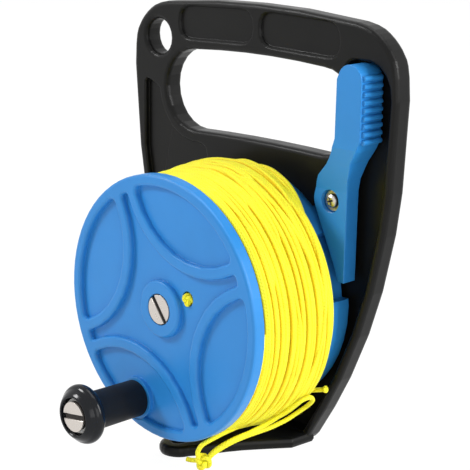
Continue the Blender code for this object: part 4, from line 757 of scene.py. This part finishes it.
def make_free_line(paint):
    """The line that leaves the winding, its loop and knot, the melted end, and the anchor knot."""
    standing, standing_path = free_line("line_to_knot", STANDING_SUNK + STANDING_LINE_ROUTE + STANDING_IN_KNOT)
    loop, loop_path = free_line("line_doubled_loop", (LOOP_IN_KNOT, *LOOP_LINE_ROUTE, LOOP_IN_KNOT))
    tail, _ = free_line("line_knot_tail", (TAIL_IN_KNOT, *TAIL_ROUTE))
    tied = knot("line_loop_knot", KNOT_PLACE, LOOP_KNOT)
    dress(standing, paint, "frame", "line", "line_standing")
    dress(loop, paint, "frame", "line", "line_loop")
    dress(tail, paint, "frame", "line", "line_tail")
    dress(tied, paint, "frame", "line", "line_knot")
    end, _ = free_line("line_melted_end", LINE_END_ROUTE, melted_tip)
    dress(end, paint, "spool", "line", "line_end")
    anchor = knot("line_anchor_knot", ANCHOR_PLACE, ANCHOR_KNOT)
    dress(anchor, paint, "spool", "line", "anchor_knot")


# Solids
def knob_plastic():
    """The knob's plastic: matt along its neck and polished by the hand round its bulb."""
    paint = moulded_plastic("knob_plastic", KNOB_BLACK, KNOB_POLISH, grain=700, grain_depth=0.000005,
                            edge=0.0002, shift=0.10, shine=KNOB_SHINE)
    split = paint.node("ShaderNodeSeparateXYZ")
    paint.link(paint.place(), split.inputs["Vector"])
    swell = REEL_PLACE.y + KNOB_SWELL[0]
    matt = paint.spread(split.outputs["Y"], swell, swell + KNOB_MATT_FADE, 0, KNOB_NECK_MATT)
    polish = paint.shader.inputs["Roughness"].links[0].from_socket
    paint.rough(paint.math("ADD", polish, matt))
    return paint


def steel_of(name, screw, roughness, depth):
    """Turned steel whose rings run round a screw's own axis and whose grime with painted shade starts behind
    its face.
    """
    low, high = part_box(screw)
    return grimy_and_shaded(turned_steel(name, tuple((low + high) / 2), roughness), low[1], depth)


def paint_solids(frame):
    """A material for each solid, and the finer pieces that replace the knob and the slotted heads."""
    black = moulded_plastic("frame_plastic", BLACK, roughness=0.33, grain=1500, grain_depth=0.000030,
                            edge=0.0010, shift=0.10, shine=0.16)
    knob = knob_plastic()
    blue = moulded_plastic("spool_plastic", BLUE, roughness=0.33, grain=1100, grain_depth=0.000012,
                           edge=0.0006, shift=0.03, shine=0.32)
    nylon = moulded_plastic("washer_nylon", NYLON, roughness=0.45, grain=900, grain_depth=0.00001, edge=0.0001)
    axle_steel = steel_of("axle_steel", "axle_screw", STEEL_ROUGHNESS, depth=0.0011)
    crank_steel = steel_of("crank_steel", "crank_screw", STEEL_ROUGHNESS, depth=0.0008)
    lever_steel = steel_of("lever_steel", "lever_screw", roughness=0.24, depth=0.0006)
    clean_steel = turned_steel("clean_steel", tuple(REEL_PLACE), STEEL_ROUGHNESS)
    worn = {
        "frame": black, "crank_knob": knob, "spool_front": blue, "spool_rear": blue, "lock_lever": blue,
        "axle_washer": nylon, "drag_washer": nylon, "crank_washer": nylon, "axle_screw": axle_steel,
        "crank_screw": crank_steel, "lever_screw": lever_steel,
    }
    for name, piece in frame["nodes"].items():
        paint = worn.get(name, clean_steel)
        piece.data.materials.clear()
        piece.data.materials.append(paint.material)
    make_knob(knob)
    slotted_head("axle_slotted_head", axle_steel, "axle_screw", "frame", AXLE_HEAD)
    slotted_head("crank_slotted_head", crank_steel, "crank_screw", "spool", CRANK_HEAD)


# Stage
def backdrop_rays(paint):
    """One for the rays that see the backdrop: camera, glossy and transmission."""
    ways = paint.node("ShaderNodeLightPath")
    seen = paint.math("MAXIMUM", ways.outputs["Is Camera Ray"], ways.outputs["Is Glossy Ray"])
    return paint.math("MAXIMUM", seen, ways.outputs["Is Transmission Ray"])


def make_stage():
    """Wide flat paper under the reel, white to the camera."""
    paper = Paint("paper")
    paper.colour(PAPER)
    paper.shader.inputs["Roughness"].default_value = PAPER_ROUGHNESS
    output = paper.tree.nodes["Material Output"]
    bright = paper.node("ShaderNodeEmission")
    bright.inputs["Color"].default_value = (1, 1, 1, 1)
    bright.inputs["Strength"].default_value = PAPER_WHITE
    mix = paper.node("ShaderNodeMixShader")
    paper.link(paper.math("MULTIPLY", backdrop_rays(paper), PAPER_GLOW), mix.inputs["Fac"])
    paper.link(paper.shader.outputs["BSDF"], mix.inputs[1])
    paper.link(bright.outputs["Emission"], mix.inputs[2])
    paper.link(mix.outputs["Shader"], output.inputs["Surface"])

    mesh = bpy.data.meshes.new("paper_sweep")
    rim = [(x * PAPER_HALF, y * PAPER_HALF, 0) for x, y in ((-1, -1), (1, -1), (1, 1), (-1, 1))]
    mesh.from_pydata(rim, [], [(0, 1, 2, 3)])
    mesh.materials.append(paper.material)
    floor = add_object("paper_sweep", mesh)


def make_lamp(name, place, size, power):
    """A rectangular soft lamp that faces the reel."""
    lamp = bpy.data.lights.new(name, "AREA")
    lamp.shape = "RECTANGLE"
    lamp.size = size[0]
    lamp.size_y = size[1]
    lamp.energy = power
    made = add_object(name, lamp)
    made.location = place
    made.rotation_euler = (LAMP_TARGET - made.location).to_track_quat("-Z", "Y").to_euler()


def make_light():
    """The soft lamps, and a world that is dim as a light and white where it is seen."""
    for lamp in LAMPS:
        make_lamp(*lamp)
    sky = Studio("studio")
    lit = sky.background(WORLD_STRENGTH)
    seen = sky.background(1.0)
    mix = sky.node("ShaderNodeMixShader")
    sky.link(backdrop_rays(sky), mix.inputs["Fac"])
    sky.link(lit, mix.inputs[1])
    sky.link(seen, mix.inputs[2])
    sky.link(mix.outputs["Shader"], sky.tree.nodes["World Output"].inputs["Surface"])
    bpy.context.scene.world = sky.world


def make_camera():
    """The photograph's own view."""
    lens = bpy.data.cameras.new("photograph")
    lens.lens = CAMERA_LENS
    lens.sensor_width = SENSOR_WIDTH
    camera = add_object("photograph", lens)
    camera.location = CAMERA_PLACE + REEL_PLACE
    camera.rotation_euler = (CAMERA_TILT, 0, CAMERA_TURN)
    bpy.context.scene.camera = camera


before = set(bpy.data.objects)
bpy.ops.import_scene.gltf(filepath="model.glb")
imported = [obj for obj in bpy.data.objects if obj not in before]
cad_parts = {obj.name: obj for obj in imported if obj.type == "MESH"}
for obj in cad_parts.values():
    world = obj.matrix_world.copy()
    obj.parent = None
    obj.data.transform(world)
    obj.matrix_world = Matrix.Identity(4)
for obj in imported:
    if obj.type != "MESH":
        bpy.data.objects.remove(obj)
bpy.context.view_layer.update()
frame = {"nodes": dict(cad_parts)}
scene = bpy.context.scene
scene.view_settings.view_transform = "Standard"
make_camera()
make_free_line(braided_line("braided_line"))
make_winding(braided_line("wound_line", wound=True))
paint_solids(frame)
make_stage()
make_light()
